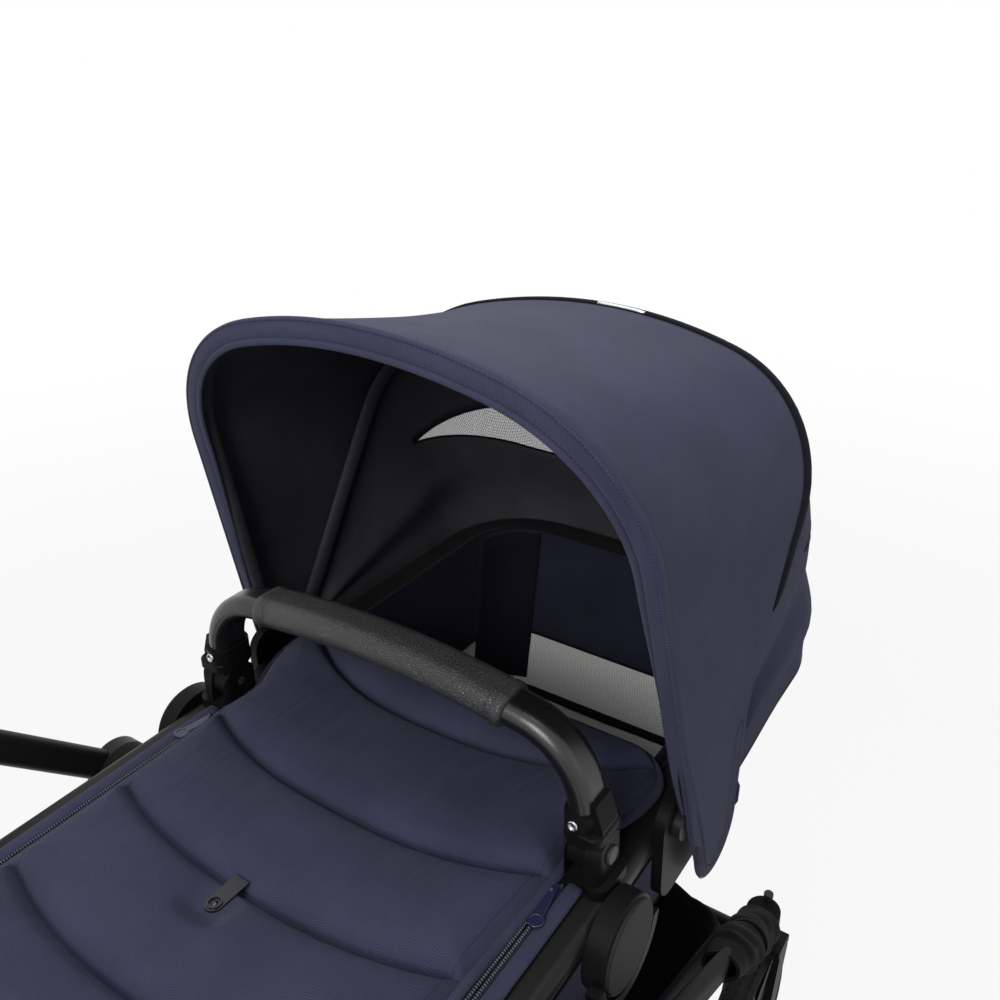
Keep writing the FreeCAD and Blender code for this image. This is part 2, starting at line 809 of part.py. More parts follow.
def bow_arch(arch, inset, behind):
    """A flat strip bow along an arch, inset from its cloth's outside, starting behind its plane."""
    outer = Part.Face(arch(inset, 0))
    inner = Part.Face(arch(inset + bow_thickness, -40))
    ring = outer.cut(inner).Faces[0]
    normal = ring.normalAt(0, 0)
    if normal.y < 0:
        normal = normal * -1
    strip = ring.extrude(normal * bow_width)
    strip.translate(normal * behind)
    return strip


def clamp_face():
    return rim_outer + clamp_width


def canopy_front_bow():
    """The folding bow, with a round boss on each clamp's pin."""
    strip = bow_arch(front_arch, front_bow_inset, 0)
    x0 = clamp_face() + side_gap
    x1 = canopy_rear_half - front_bow_inset
    z = rim_height + canopy_pivot_rise
    boss = disc_x(bow_boss_radius, x0, x1, canopy_pivot_y, z)
    bow = joined(strip, boss, mirrored(boss))
    bore = disc_x(bow_pin_radius + run_fit, x0 - 1, x1 + 1, canopy_pivot_y, z)
    return bow.cut(bore).cut(mirrored(bore))


def canopy_rear_bow():
    """The fixed bow that carries the flap line, seated on the clamps."""
    return bow_arch(rear_arch, rear_bow_inset, -bow_width / 2)


def canopy_clamps():
    """The clamp on each side rail, with the front bow's pin and the rear bow's rivets."""
    x0, x1 = rim_outer, clamp_face()
    z = rim_height
    body = box(x0, x1, clamp_start, clamp_end, z - clamp_below, z + clamp_above)
    upright = [e for e in body.Edges if e.BoundBox.XLength > clamp_width - 0.1]
    body = body.makeFillet(20, upright)
    pin_end = canopy_rear_half - front_bow_inset
    pin = disc_x(bow_pin_radius, x1 - 1, pin_end, canopy_pivot_y, z + canopy_pivot_rise)
    seat_face = canopy_rear_half - rear_bow_inset - bow_thickness - side_gap
    seat = disc_x(seat_radius, x1 - 1, seat_face, canopy_rear_y + 6, z + 10)
    return both_sides(joined(body, pin, seat))


# ---------------------------------------------------------------- bassinet mounts and hub


def drum_center():
    return drum_y, rim_height - drum_drop


def mount_drums():
    drum = disc_x(drum_radius, rim_outer, rim_outer + drum_length, *drum_center())
    edges = [e for e in drum.Edges if e.BoundBox.XMin > rim_outer + drum_length - 1e-6]
    return both_sides(drum.makeFillet(2, edges))


def drum_caps():
    x0 = rim_outer + drum_length
    cap = disc_x(drum_cap_radius, x0, x0 + drum_cap_thickness, *drum_center())
    edges = [e for e in cap.Edges if e.BoundBox.XMin > x0 + drum_cap_thickness - 1e-6]
    return both_sides(cap.makeFillet(1.4, edges))


def hub_plate():
    """The cast plate inside the hub, whose cradle holds the bassinet's drum from below."""
    y, z = drum_center()
    outer = drum_radius + side_gap + cradle_wall
    cradle = disc_x(outer, plate_inner, hub_plate_outer - 6, y, z)
    cradle = cradle.cut(box(plate_inner - 1, hub_plate_outer, y - 80, y + 80, z - 6, z + 80))
    far = (y - 18, z - outer + 16)
    arm = link_plate((hub_y, hub_z), hub_radius, far, 15, plate_inner, hub_plate_outer - 6)
    boss = disc_x(hub_radius, plate_inner, hub_plate_outer, hub_y, hub_z)
    plate = joined(cradle, arm, boss)
    plate = plate.cut(disc_x(drum_radius + side_gap, plate_inner - 1, hub_plate_outer + 1, y, z))
    return plate.cut(disc_x(hub_pin_radius + 0.03, plate_inner - 1, hub_plate_outer + 1, hub_y, hub_z))


def hub_pivots():
    """The bolt through each hub, with its round cap outside the handlebar's knuckle."""
    cap_inner = bar_knuckle_outer + side_gap
    pin = disc_x(hub_pin_radius, plate_inner, cap_inner + 1, hub_y, hub_z)
    cap = disc_x(hub_cap_radius, cap_inner, cap_inner + hub_cap_thickness, hub_y, hub_z)
    outer_rim = [e for e in cap.Edges if e.BoundBox.XMin > cap_inner + hub_cap_thickness - 1e-6]
    cap = cap.makeFillet(1.6, outer_rim)
    return both_sides(joined(pin, cap))


def knuckle(x0, x1, clearance):
    disc = disc_x(hub_radius, x0, x1, hub_y, hub_z)
    return disc, disc_x(hub_pin_radius + clearance, x0 - 1, x1 + 1, hub_y, hub_z)


# ---------------------------------------------------------------- front legs and castors


def front_leg_ends():
    x = (front_knuckle_inner + front_knuckle_outer) / 2
    return V(x, hub_y, hub_z), leg_front_end


def front_leg_point(along):
    start, end = front_leg_ends()
    return start + V(end - start).normalize() * along


def front_leg():
    """Knuckle, leg tube and castor housing, welded into one side member."""
    start, end = front_leg_ends()
    disc, bore = knuckle(front_knuckle_inner, front_knuckle_outer, 0.03)
    tube = oval_bar(front_leg_point(hub_radius * 0.6), end, leg_width, leg_thick)
    hollow_end = front_leg_point((end - start).Length - housing_radius - 12)
    hollow = oval_bar(front_leg_point(hub_radius + 12), hollow_end,
                      leg_width - 2 * leg_wall, leg_thick - 2 * leg_wall)
    bottom = V(castor_half, castor_y, housing_bottom)
    housing = rod(housing_radius, bottom, V(castor_half, castor_y, housing_top))
    rims = [e for e in housing.Edges if e.BoundBox.ZMin > housing_top - 1e-6]
    housing = housing.makeFillet(3, rims)
    leg = joined(disc, tube, housing).cut(bore).cut(hollow)
    leg = leg.cut(disc_x(hub_radius + hub_relief, plate_inner, front_knuckle_inner, hub_y, hub_z))
    stem_top = housing_top - 5
    stem = rod(stem_radius + run_fit, bottom - V(0, 0, 1), V(castor_half, castor_y, stem_top))
    lock_y = castor_y + lock_pin_offset
    lock = rod(lock_pin_radius + run_fit, V(castor_half, lock_y, 0), V(castor_half, lock_y, housing_top + 1))
    return leg.cut(stem).cut(lock)


def castor_fork():
    """Stem, crown with its two lock holes, and two blades that trail back to the axle."""
    x = castor_half
    inner = front_tyre_width / 2 + fork_gap
    outer = inner + fork_blade
    crown_top = fork_crown_z + fork_crown_height
    crown = rod(housing_radius, V(x, castor_y, fork_crown_z), V(x, castor_y, crown_top))
    yoke = box(x - outer, x + outer, castor_y - 17, castor_y + 17, fork_crown_z, crown_top)
    stem = rod(stem_radius, V(x, castor_y, crown_top - 1), V(x, castor_y, housing_top - 5 - side_gap))
    blades = []
    for x0 in (x - outer, x + inner):
        top = (castor_y, fork_crown_z - 4)
        bottom = (front_axle.y, front_axle.z)
        blades.append(link_plate(top, 14, bottom, 12, x0, x0 + fork_blade))
    fork = joined(crown, yoke, stem, *blades)
    for side in (-1, 1):
        hole_y = castor_y + side * lock_pin_offset
        hole_bottom = V(x, hole_y, fork_crown_z + 2)
        fork = fork.cut(rod(lock_pin_radius + 0.4, hole_bottom, V(x, hole_y, crown_top + 0.01)))
    return fork.cut(disc_x(front_axle_radius + 0.03, x - outer - 1, x + outer + 1, *bottom))


def front_axle_pin():
    inner = front_tyre_width / 2 + fork_gap + fork_blade
    pin = disc_x(front_axle_radius, castor_half - inner, castor_half + inner, front_axle.y, front_axle.z)
    head = disc_x(9, castor_half + inner, castor_half + inner + 2.5, front_axle.y, front_axle.z)
    return joined(pin, head)


def swivel_lock():
    y = castor_y + lock_pin_offset
    tip = fork_crown_z + fork_crown_height + 1
    top = housing_top + lock_travel + 1
    pin = rod(lock_pin_radius, V(castor_half, y, tip), V(castor_half, y, top + 1))
    knob = rod(lock_knob_radius, V(castor_half, y, top), V(castor_half, y, top + lock_knob_height))
    knob = knob.makeFillet(1.5, [e for e in knob.Edges if e.BoundBox.ZMin > top + lock_knob_height - 1e-6])
    return joined(pin, knob)


def front_crossbar(legs):
    p = front_leg_point(crossbar_along)
    bar = rod(crossbar_radius, V(-p.x, p.y, p.z), V(p.x, p.y, p.z))
    bore = rod(crossbar_radius - leg_wall, V(-p.x + 12, p.y, p.z), V(p.x - 12, p.y, p.z))
    for leg in legs:
        bar = bar.cut(leg)
    solids = sorted(bar.Solids, key=lambda s: s.Volume)
    return solids[-1].cut(bore)


# ---------------------------------------------------------------- wheels


def tyre(radius, depth, width, x, y, z):
    """A crowned tyre with a groove on each shoulder, round the rim's seat."""
    seat = radius - depth
    half = width / 2
    shoulder = radius - depth * 0.35
    profile = [
        (-half + 5, seat),
        (-half, seat + 4),
        (-half, shoulder - 2),
        (-half * 0.62, radius - 1.6),
        (-half * 0.55, radius - 1.2),
    ]
    points = [V(a, b, 0) for a, b in profile]
    flip = [V(-a, b, 0) for a, b in reversed(profile)]
    edges = [Part.LineSegment(points[0], points[1]).toShape()]
    edges.append(Part.LineSegment(points[1], points[2]).toShape())
    edges.append(Part.Arc(points[2], V(-half * 0.87, shoulder + depth * 0.2, 0), points[3]).toShape())
    edges.append(Part.LineSegment(points[3], points[4]).toShape())
    edges.append(Part.Arc(points[4], V(0, radius, 0), flip[0]).toShape())
    edges.append(Part.LineSegment(flip[0], flip[1]).toShape())
    edges.append(Part.Arc(flip[1], V(half * 0.87, shoulder + depth * 0.2, 0), flip[2]).toShape())
    edges.append(Part.LineSegment(flip[2], flip[3]).toShape())
    edges.append(Part.LineSegment(flip[3], flip[4]).toShape())
    edges.append(Part.LineSegment(flip[4], points[0]).toShape())
    solid = Part.Face(Part.Wire(edges)).revolve(V(0, 0, 0), V(1, 0, 0), 360)
    solid.translate(V(x, y, z))
    return solid


def wheel_rim(radius, width, hub_radius_out, hub_width, bore, web, spokes, spoke_width, x, y, z):
    """Rim ring, a closed web with raised spokes that taper to the rim, and a hub with its bore."""
    half = width / 2
    ring = disc_x(radius, -half, half, 0, 0).cut(disc_x(radius - rim_ring, -half - 1, half + 1, 0, 0))
    hub = disc_x(hub_radius_out, -hub_width / 2, hub_width / 2, 0, 0)
    parts = [ring, hub, disc_x(radius - rim_ring / 2, -web / 2, web / 2, 0, 0)]
    face = (half + web / 2) / 2
    for index in range(spokes):
        turn = 360.0 * index / spokes + 180.0 / spokes
        spoke = link_plate((0.0, 0.0), spoke_width, (radius - 5, 0.0), spoke_width * 0.5, -face, face)
        spoke = spoke.cut(disc_x(radius * 2, -half, half, 0, 0).cut(disc_x(radius - 3, -half, half, 0, 0)))
        spoke.rotate(V(0, 0, 0), V(1, 0, 0), turn)
        parts.append(spoke)
    wheel = joined(*parts).cut(disc_x(bore, -half - 40, half + 40, 0, 0))
    wheel.translate(V(x, y, z))
    return wheel


def front_wheel_parts():
    place = (castor_half, front_axle.y, front_axle.z)
    seat = front_wheel_radius - front_tyre_depth
    hub_width = front_tyre_width + 2 * fork_gap - 2 * side_gap
    bore = front_axle_radius + run_fit
    rim = wheel_rim(seat, front_tyre_width - 10, 15, hub_width, bore, front_web, 6, 9, *place)
    return tyre(front_wheel_radius, front_tyre_depth, front_tyre_width, *place), rim


def rear_wheel_parts():
    """Rear tyre and rim; the rim's inner flange has the ring of sockets for the brake pin."""
    x = rear_wheel_inner + rear_tyre_width / 2
    place = (x, rear_axle.y, rear_axle.z)
    seat = rear_wheel_radius - rear_tyre_depth
    bore = rear_axle_radius + run_fit
    rim = wheel_rim(seat, rear_tyre_width - 10, 22, rear_tyre_width - 8, bore, rear_web, 8, 11, *place)
    flange_outer = brake_pin_offset + 10
    flange_end = rear_wheel_inner + brake_travel + 4
    flange = disc_x(flange_outer, rear_wheel_inner, flange_end, rear_axle.y, rear_axle.z)
    sockets = []
    for index in range(brake_sockets):
        socket_end = rear_wheel_inner + brake_travel + 1
        socket = disc_x(brake_pin_radius + socket_clearance, rear_wheel_inner - 1, socket_end,
                        rear_axle.y, rear_axle.z + brake_pin_offset)
        socket.rotate(V(0, rear_axle.y, rear_axle.z), V(1, 0, 0), 360.0 * index / brake_sockets)
        sockets.append(socket)
    rim = joined(rim, flange).cut(Part.makeCompound(sockets))
    rim = rim.cut(disc_x(rear_axle_radius + run_fit, rear_wheel_inner - 1, rear_wheel_inner + 60,
                         rear_axle.y, rear_axle.z))
    return tyre(rear_wheel_radius, rear_tyre_depth, rear_tyre_width, *place), rim


# ---------------------------------------------------------------- rear legs, axle and brake


def rear_leg():
    """Knuckle, leg tube and axle block, with the bores for the axle, the bar and the brake pin."""
    start = V((rear_knuckle_inner + rear_knuckle_outer) / 2, hub_y, hub_z)
    end = V(rear_leg_foot_half, rear_axle.y, rear_axle.z)
    along = V(end - start).normalize()
    disc, bore = knuckle(rear_knuckle_inner, rear_knuckle_outer, run_fit)
    tube = oval_bar(start + along * (hub_radius * 0.6), end, leg_width, leg_thick)
    reach = (end - start).Length
    hollow = oval_bar(start + along * (hub_radius + 12), start + along * (reach - axle_block_radius - 12),
                      leg_width - 2 * leg_wall, leg_thick - 2 * leg_wall)
    outer = axle_block_inner + axle_block_width
    block = disc_x(axle_block_radius, axle_block_inner, outer, rear_axle.y, rear_axle.z)
    guide = disc_x(brake_pin_radius + 6, axle_block_inner, outer, rear_axle.y, rear_axle.z + brake_pin_offset)
    leg = joined(disc, tube, block, guide).cut(bore).cut(hollow)
    leg = leg.cut(disc_x(hub_radius + side_gap, plate_inner, rear_knuckle_inner, hub_y, hub_z))
    leg = leg.cut(disc_x(rear_axle_radius + 0.03, axle_block_inner + 8, outer + 1, rear_axle.y, rear_axle.z))
    leg = leg.cut(disc_x(axle_bar_radius + 0.03, axle_block_inner - 1, axle_block_inner + 8,
                         rear_axle.y, rear_axle.z))
    return leg.cut(disc_x(brake_pin_radius + run_fit, axle_block_inner - 1, outer + 1,
                          rear_axle.y, rear_axle.z + brake_pin_offset))


def rear_axle_bar():
    end = axle_block_inner + 8
    bar = disc_x(axle_bar_radius, -end, end, rear_axle.y, rear_axle.z)
    return bar.cut(disc_x(axle_bar_radius - axle_bar_wall, -end + 10, end - 10, rear_axle.y, rear_axle.z))


def rear_axle_pins():
    inner = axle_block_inner + 8
    outer = rear_wheel_inner + rear_tyre_width - 3
    pin = disc_x(rear_axle_radius, inner, outer, rear_axle.y, rear_axle.z)
    head = disc_x(12, outer - 0.5, outer + 2, rear_axle.y, rear_axle.z)
    return both_sides(joined(pin, head))


def brake_pin():
    """The locking pin: it stands clear of the wheel until the pedal pushes it into a socket."""
    tip = rear_wheel_inner - 1.5
    start = axle_block_inner - 14
    y, z = rear_axle.y, rear_axle.z + brake_pin_offset
    head = disc_x(7, start, start + 4, y, z)
    return joined(disc_x(brake_pin_radius, start, tip, y, z), head)


def brake_pedal():
    """A sleeve round the axle bar with a foot plate that reaches back."""
    y, z = rear_axle.y, rear_axle.z
    outer = axle_bar_radius + run_fit + pedal_sleeve_wall
    sleeve = disc_x(outer, -pedal_half, pedal_half, y, z)
    plate = box(-pedal_half, pedal_half, y - pedal_reach, y, z + outer - pedal_thickness, z + outer)
    upright = [e for e in plate.Edges if e.BoundBox.ZLength > pedal_thickness - 0.1]
    plate = plate.makeFillet(14, [e for e in upright if e.BoundBox.YMax < y - 10])
    pedal = joined(sleeve, plate)
    pedal = pedal.cut(disc_x(axle_bar_radius + run_fit, -pedal_half - 1, pedal_half + 1, y, z))
    for index in range(3):
        groove_y = y - pedal_reach + 8 + index * 8
        half = pedal_half - 12
        pedal = pedal.cut(box(-half, half, groove_y, groove_y + 3, z + outer - 1.2, z + outer + 1))
    return pedal


# ---------------------------------------------------------------- handlebar


def bar_point(x, along, up=0.0):
    return V(x, hub_y, hub_z) + bar_direction * along + bar_up * up


def handlebar_lower():
    """Knuckle and the outer tube of one telescoping side."""
    disc, bore = knuckle(bar_knuckle_inner, bar_knuckle_outer, run_fit)
    mouth = bar_point(bar_half, bar_lower_length)
    tube = oval_bar(bar_point(bar_half, hub_radius * 0.6), mouth, leg_width, leg_thick)
    hollow = oval_bar(bar_point(bar_half, hub_radius + 12), bar_point(bar_half, bar_lower_length + 1),
                      leg_width - 2 * leg_wall, leg_thick - 2 * leg_wall)
    return joined(disc, tube).cut(bore).cut(hollow)


def handlebar_upper():
    """The upper bow: two legs inside the lower tubes, round corners and the push bar."""
    a = bar_point(bar_half, bar_upper_start)
    b = bar_point(bar_half, bar_reach - bar_bend)
    c = bar_point(bar_half - bar_bend, bar_reach)
    k = bar_bend * (1 - math.sqrt(0.5))
    m = bar_point(bar_half - k, bar_reach - k)
    flip = [V(-p.x, p.y, p.z) for p in (a, b, m, c)]
    path = Part.Wire([
        Part.LineSegment(a, b).toShape(),
        Part.Arc(b, m, c).toShape(),
        Part.LineSegment(c, flip[3]).toShape(),
        Part.Arc(flip[3], flip[2], flip[1]).toShape(),
        Part.LineSegment(flip[1], flip[0]).toShape(),
    ])
    width = leg_width - 2 * leg_wall - 2 * bar_fit
    thick = leg_thick - 2 * leg_wall - 2 * bar_fit
    outer = swept(path, a, bar_up, V(1, 0, 0), width, thick)
    inner = swept(path, a, bar_up, V(1, 0, 0), width - 2 * leg_wall, thick - 2 * leg_wall)
    return outer.cut(inner)


def handlebar_grip():
    width = leg_width - 2 * leg_wall - 2 * bar_fit + 2 * run_fit
    thick = leg_thick - 2 * leg_wall - 2 * bar_fit + 2 * run_fit
    start = bar_point(-bar_grip_half, bar_reach)
    sleeve = rod(bar_grip_radius, start, bar_point(bar_grip_half, bar_reach))
    sleeve = sleeve.makeFillet(4, [e for e in sleeve.Edges if e.BoundBox.XLength < 0.1])
    outline = flat_oval(start, bar_up, bar_direction, width, thick)
    core = Part.Face(outline).extrude(V(2 * bar_grip_half, 0, 0))
    return sleeve.cut(core)


def lever_pivot():
    """The clamp lever's hinge, on the top side of the collar."""
    up = leg_width / 2 + collar_wall + lever_hinge_radius + side_gap
    return bar_lower_length - collar_length / 2 + 6, up


def height_collars():
    """The clamp collar at the mouth of each lower tube, with two ears for the lever."""
    x = bar_half
    low, high = bar_lower_length - collar_length, bar_lower_length
    width, thick = leg_width + 2 * collar_wall, leg_thick + 2 * collar_wall
    body = oval_bar(bar_point(x, low), bar_point(x, high), width, thick)
    along, up = lever_pivot()
    ears = []
    for x0, x1 in ((x - 11, x - lever_width / 2 - side_gap), (x + lever_width / 2 + side_gap, x + 11)):
        center = bar_point(0, along, up)
        base = bar_point(0, along, up - 9)
        ears.append(link_plate((center.y, center.z), 6, (base.y, base.z), 7, x0, x1))
    bore = oval_bar(bar_point(x, low - 1), bar_point(x, high + 1), leg_width + 0.06, leg_thick + 0.06)
    collar = joined(body, *ears).cut(bore)
    center = bar_point(0, along, up)
    pin_hole = disc_x(lever_pin_radius + 0.03, x - 12, x + 12, center.y, center.z)
    return both_sides(collar.cut(pin_hole))


def lever_pins():
    along, up = lever_pivot()
    center = bar_point(0, along, up)
    return both_sides(disc_x(lever_pin_radius, bar_half - 11, bar_half + 11, center.y, center.z))


def clamp_lever():
    """A cam lever that lies back along the tube when it is closed."""
    x0, x1 = bar_half - lever_width / 2, bar_half + lever_width / 2
    along, up = lever_pivot()
    cam = bar_point(0, along, up)
    tip = bar_point(0, along - lever_length, up - 1)
    lever = link_plate((cam.y, cam.z), lever_hinge_radius, (tip.y, tip.z), lever_thickness / 2 + 0.5, x0, x1)
    return lever.cut(disc_x(lever_pin_radius + run_fit, x0 - 1, x1 + 1, cam.y, cam.z))


def fold_slider():
    """The sliding ring on the lower tube that frees the fold when it is pulled up."""
    low = bar_point(bar_half, slider_ring_at)
    high = bar_point(bar_half, slider_ring_at + slider_ring_length)
    flare = bar_point(bar_half, slider_ring_at + slider_ring_length - 8)
    body = oval_bar(low, high, leg_width + 2 * slider_ring_wall, leg_thick + 2 * slider_ring_wall)
    lip = oval_bar(flare, high, leg_width + 2 * slider_ring_wall + 5, leg_thick + 2 * slider_ring_wall + 3)
    bore = oval_bar(bar_point(bar_half, slider_ring_at - 1), bar_point(bar_half, slider_ring_at + 60),
                    leg_width + 2 * side_gap, leg_thick + 2 * side_gap)
    return joined(body, lip).cut(bore)


# ---------------------------------------------------------------- basket


def basket_half(z):
    t = (basket_rim - z) / (basket_rim - basket_bottom)
    return basket_top_half + t * (basket_bottom_half - basket_top_half)


def basket_block(low, high, inset):
    """The basket's tapered form between two heights, its walls moved in by inset."""
    wires = []
    for z in (low, high):
        t = (basket_rim - z) / (basket_rim - basket_bottom)
        back = basket_back + t * basket_taper + inset
        front = basket_front - t * basket_taper - inset
        wires.append(rounded_outline(basket_half(z) - inset, back, front, basket_corner - inset, z))
    return Part.makeLoft(wires, True, True)


def wedge(y_rim, y_end, z_end, reach):
    """What the rim's fall cuts away: all above a line from the rim down to an end."""
    high = basket_rim + 60
    corners = [V(-400, y_rim, basket_rim + 1), V(-400, y_end, z_end), V(-400, y_end + reach, z_end)]
    corners += [V(-400, y_end + reach, high), V(-400, y_rim, high)]
    return Part.Face(Part.makePolygon(corners + corners[:1])).extrude(V(800, 0, 0))


def basket():
    """An open cloth basket whose side rims fall to the front with the legs, with a crowned front."""
    shell = basket_block(basket_bottom, basket_rim, 0)
    shell = shell.cut(basket_block(basket_bottom + basket_cloth, basket_rim + 1, basket_cloth))
    fall = wedge(basket_fall_start, basket_front, basket_front_rim, 40)
    half = basket_half(basket_front_rim) - basket_corner
    y0 = basket_front - basket_taper - basket_corner / 2
    left, right = V(-half, y0, basket_front_rim), V(half, y0, basket_front_rim)
    arc = Part.Arc(left, V(0, y0, basket_front_crown), right)
    crown = Part.Wire([arc.toShape(), Part.LineSegment(right, left).toShape()])
    fall = fall.cut(Part.Face(crown).extrude(V(0, 120, 0)))
    return shell.cut(fall).cut(wedge(-90, basket_back, basket_back_rim, -40))


def basket_loops():
    """The cloth sleeves on the front legs, each with a web to the basket's side."""
    start, end = front_leg_point(loop_along), front_leg_point(loop_along + loop_length)
    gap = 2 * soft_gap
    outer = oval_bar(start, end, leg_width + gap + 2 * loop_cloth, leg_thick + gap + 2 * loop_cloth)
    inboard = V(basket_bottom_half - 20, 0, 0)
    web = Part.Face(Part.makePolygon([
        start, end, V(inboard.x, end.y, end.z), V(inboard.x, start.y, start.z), start,
    ]))
    normal = V(0, start.z - end.z, end.y - start.y).normalize()
    web = web.extrude(normal * loop_cloth)
    bore_start, bore_end = front_leg_point(loop_along - 30), front_leg_point(loop_along + loop_length + 30)
    loop = joined(outer, web).cut(oval_bar(bore_start, bore_end, leg_width + gap, leg_thick + gap))
    loop = loop.cut(basket_block(basket_bottom, basket_rim, -soft_gap))
    solids = sorted(loop.Solids, key=lambda s: s.Volume)
    return both_sides(solids[-1])


def basket_straps():
    """The webbing straps from the hub plates over the basket's rim and down its sides."""
    wall = basket_half(basket_rim) + soft_gap
    low_z = basket_rim - strap_lap
    low = basket_half(low_z) + soft_gap
    top = plate_inner - side_gap
    z_top = hub_z - 12
    points = [
        V(top, 0, z_top), V(wall + strap_cloth, 0, basket_rim), V(low + strap_cloth, 0, low_z),
        V(low, 0, low_z), V(wall, 0, basket_rim), V(top - strap_cloth, 0, z_top),
    ]
    face = Part.Face(Part.makePolygon(points + points[:1]))
    face.translate(V(0, hub_y - strap_width / 2, 0))
    return both_sides(face.extrude(V(0, strap_width, 0)))


def basket_hangers():
    return Part.makeCompound([basket_loops(), basket_straps()])


# ---------------------------------------------------------------- all nodes


def build():
    leg = front_leg()
    front_tyre, front_rim = front_wheel_parts()
    rear_tyre, rear_rim = rear_wheel_parts()
    nodes = {
        "bassinet_rim": bassinet_rim(),
        "bassinet_tub": bassinet_tub(),
        "mattress": mattress(),
        "apron": apron(),
        "apron_zips": apron_zips(),
        "apron_tab": apron_tab(),
        "carry_handle": carry_handle(),
        "carry_grip": carry_grip(),
        "handle_pins": handle_pins(),
        "canopy_top": canopy_top(),
        "canopy_back": canopy_back(),
        "canopy_binding": canopy_binding(),
        "canopy_front_bow": canopy_front_bow(),
        "canopy_rear_bow": canopy_rear_bow(),
        "canopy_clamps": canopy_clamps(),
        "mount_drums": mount_drums(),
        "drum_caps": drum_caps(),
        "hub_pivots": hub_pivots(),
        "front_crossbar": front_crossbar([leg, mirrored(leg)]),
        "rear_axle_bar": rear_axle_bar(),
        "rear_axle_pins": rear_axle_pins(),
        "brake_pedal": brake_pedal(),
        "handlebar_upper": handlebar_upper(),
        "handlebar_grip": handlebar_grip(),
        "height_collars": height_collars(),
        "lever_pins": lever_pins(),
        "basket": basket(),
        "basket_hangers": basket_hangers(),
        "handle_adapters": both_sides(handle_adapter()),
        "handle_feet": both_sides(handle_foot()),
        "hub_plates": both_sides(hub_plate()),
    }
    pairs = {
        "zip_slider": zip_slider(),
        "handle_button": handle_button(),
        "front_leg": leg,
        "castor_fork": Part.makeCompound([castor_fork(), front_axle_pin()]),
        "swivel_lock": swivel_lock(),
        "front_tyre": front_tyre,
        "front_rim": front_rim,
        "rear_leg": rear_leg(),
        "rear_tyre": rear_tyre,
        "rear_rim": rear_rim,
        "brake_pin": brake_pin(),
        "handlebar_lower": handlebar_lower(),
        "clamp_lever": clamp_lever(),
        "fold_slider": fold_slider(),
    }
    for name, shape in pairs.items():
        nodes[name + "_right"] = shape
        nodes[name + "_left"] = mirrored(shape)
    return nodes


def main():
    os.makedirs("parts", exist_ok=True)
    for name, shape in build().items():
        placed = shape.copy()
        placed.translate(V(0, -origin_y, 0))
        placed.exportStep(f"parts/{name}.step")


main()
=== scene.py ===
import math
import bmesh
import bpy
import numpy as np
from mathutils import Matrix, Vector


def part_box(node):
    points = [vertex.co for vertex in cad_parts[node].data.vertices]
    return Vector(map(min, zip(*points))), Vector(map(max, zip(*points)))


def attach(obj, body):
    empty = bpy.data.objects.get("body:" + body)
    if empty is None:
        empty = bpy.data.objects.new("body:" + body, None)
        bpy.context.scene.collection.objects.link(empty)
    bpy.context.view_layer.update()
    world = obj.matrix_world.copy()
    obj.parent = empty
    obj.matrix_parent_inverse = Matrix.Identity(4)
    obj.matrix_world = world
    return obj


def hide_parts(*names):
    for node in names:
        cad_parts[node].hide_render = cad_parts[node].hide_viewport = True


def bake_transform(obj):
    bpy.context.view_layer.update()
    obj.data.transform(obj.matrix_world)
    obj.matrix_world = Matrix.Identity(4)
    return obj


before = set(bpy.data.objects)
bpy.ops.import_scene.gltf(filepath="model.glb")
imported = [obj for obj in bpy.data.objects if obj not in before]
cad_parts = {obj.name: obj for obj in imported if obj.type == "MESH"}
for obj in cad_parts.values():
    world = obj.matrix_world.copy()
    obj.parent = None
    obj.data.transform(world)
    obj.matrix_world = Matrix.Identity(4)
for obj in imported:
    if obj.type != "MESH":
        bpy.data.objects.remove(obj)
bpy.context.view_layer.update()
print("frame loaded:", len(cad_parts), "nodes")


def middle(node, axis):
    low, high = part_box(node)
    return (low[axis] + high[axis]) / 2


# The drawing origin is at the middle of the rail's height, straight under the carry handle. Sizes are in mm.
originY = middle("carry_handle", 1)
railZ = middle("bassinet_rim", 2)
floorZ = -1000 * railZ


def placed(points):
    return np.asarray(points, float) / 1000 + np.array([0, originY, railZ])


def at(x, y, z):
    return Vector(placed((x, y, z)))


def drawn(point):
    return (Vector(point) - at(0, 0, 0)) * 1000


def middleOf(node):
    low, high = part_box(node)
    return drawn((Vector(low) + Vector(high)) / 2)


def smooth(value, low, high):
    share = np.clip((np.asarray(value, float) - low) / (high - low), 0, 1)
    return share * share * (3 - 2 * share)


def unit(vectors):
    vectors = np.asarray(vectors, float)
    return vectors / np.maximum(np.linalg.norm(vectors, axis=-1, keepdims=True), 1e-9)


def lengthsAlong(points):
    steps = np.linalg.norm(np.diff(points, axis=0), axis=1)
    return np.concatenate([[0], np.cumsum(steps)])


def evenly(points, count):
    points = np.asarray(points, float)
    run = lengthsAlong(points)
    spots = np.linspace(0, run[-1], count)
    return np.stack([np.interp(spots, run, points[:, k]) for k in range(points.shape[1])], axis=1)


# Meshes from grids, tubes and lathed profiles.
def linked(name, data):
    piece = bpy.data.objects.new(name, data)
    bpy.context.scene.collection.objects.link(piece)
    return piece


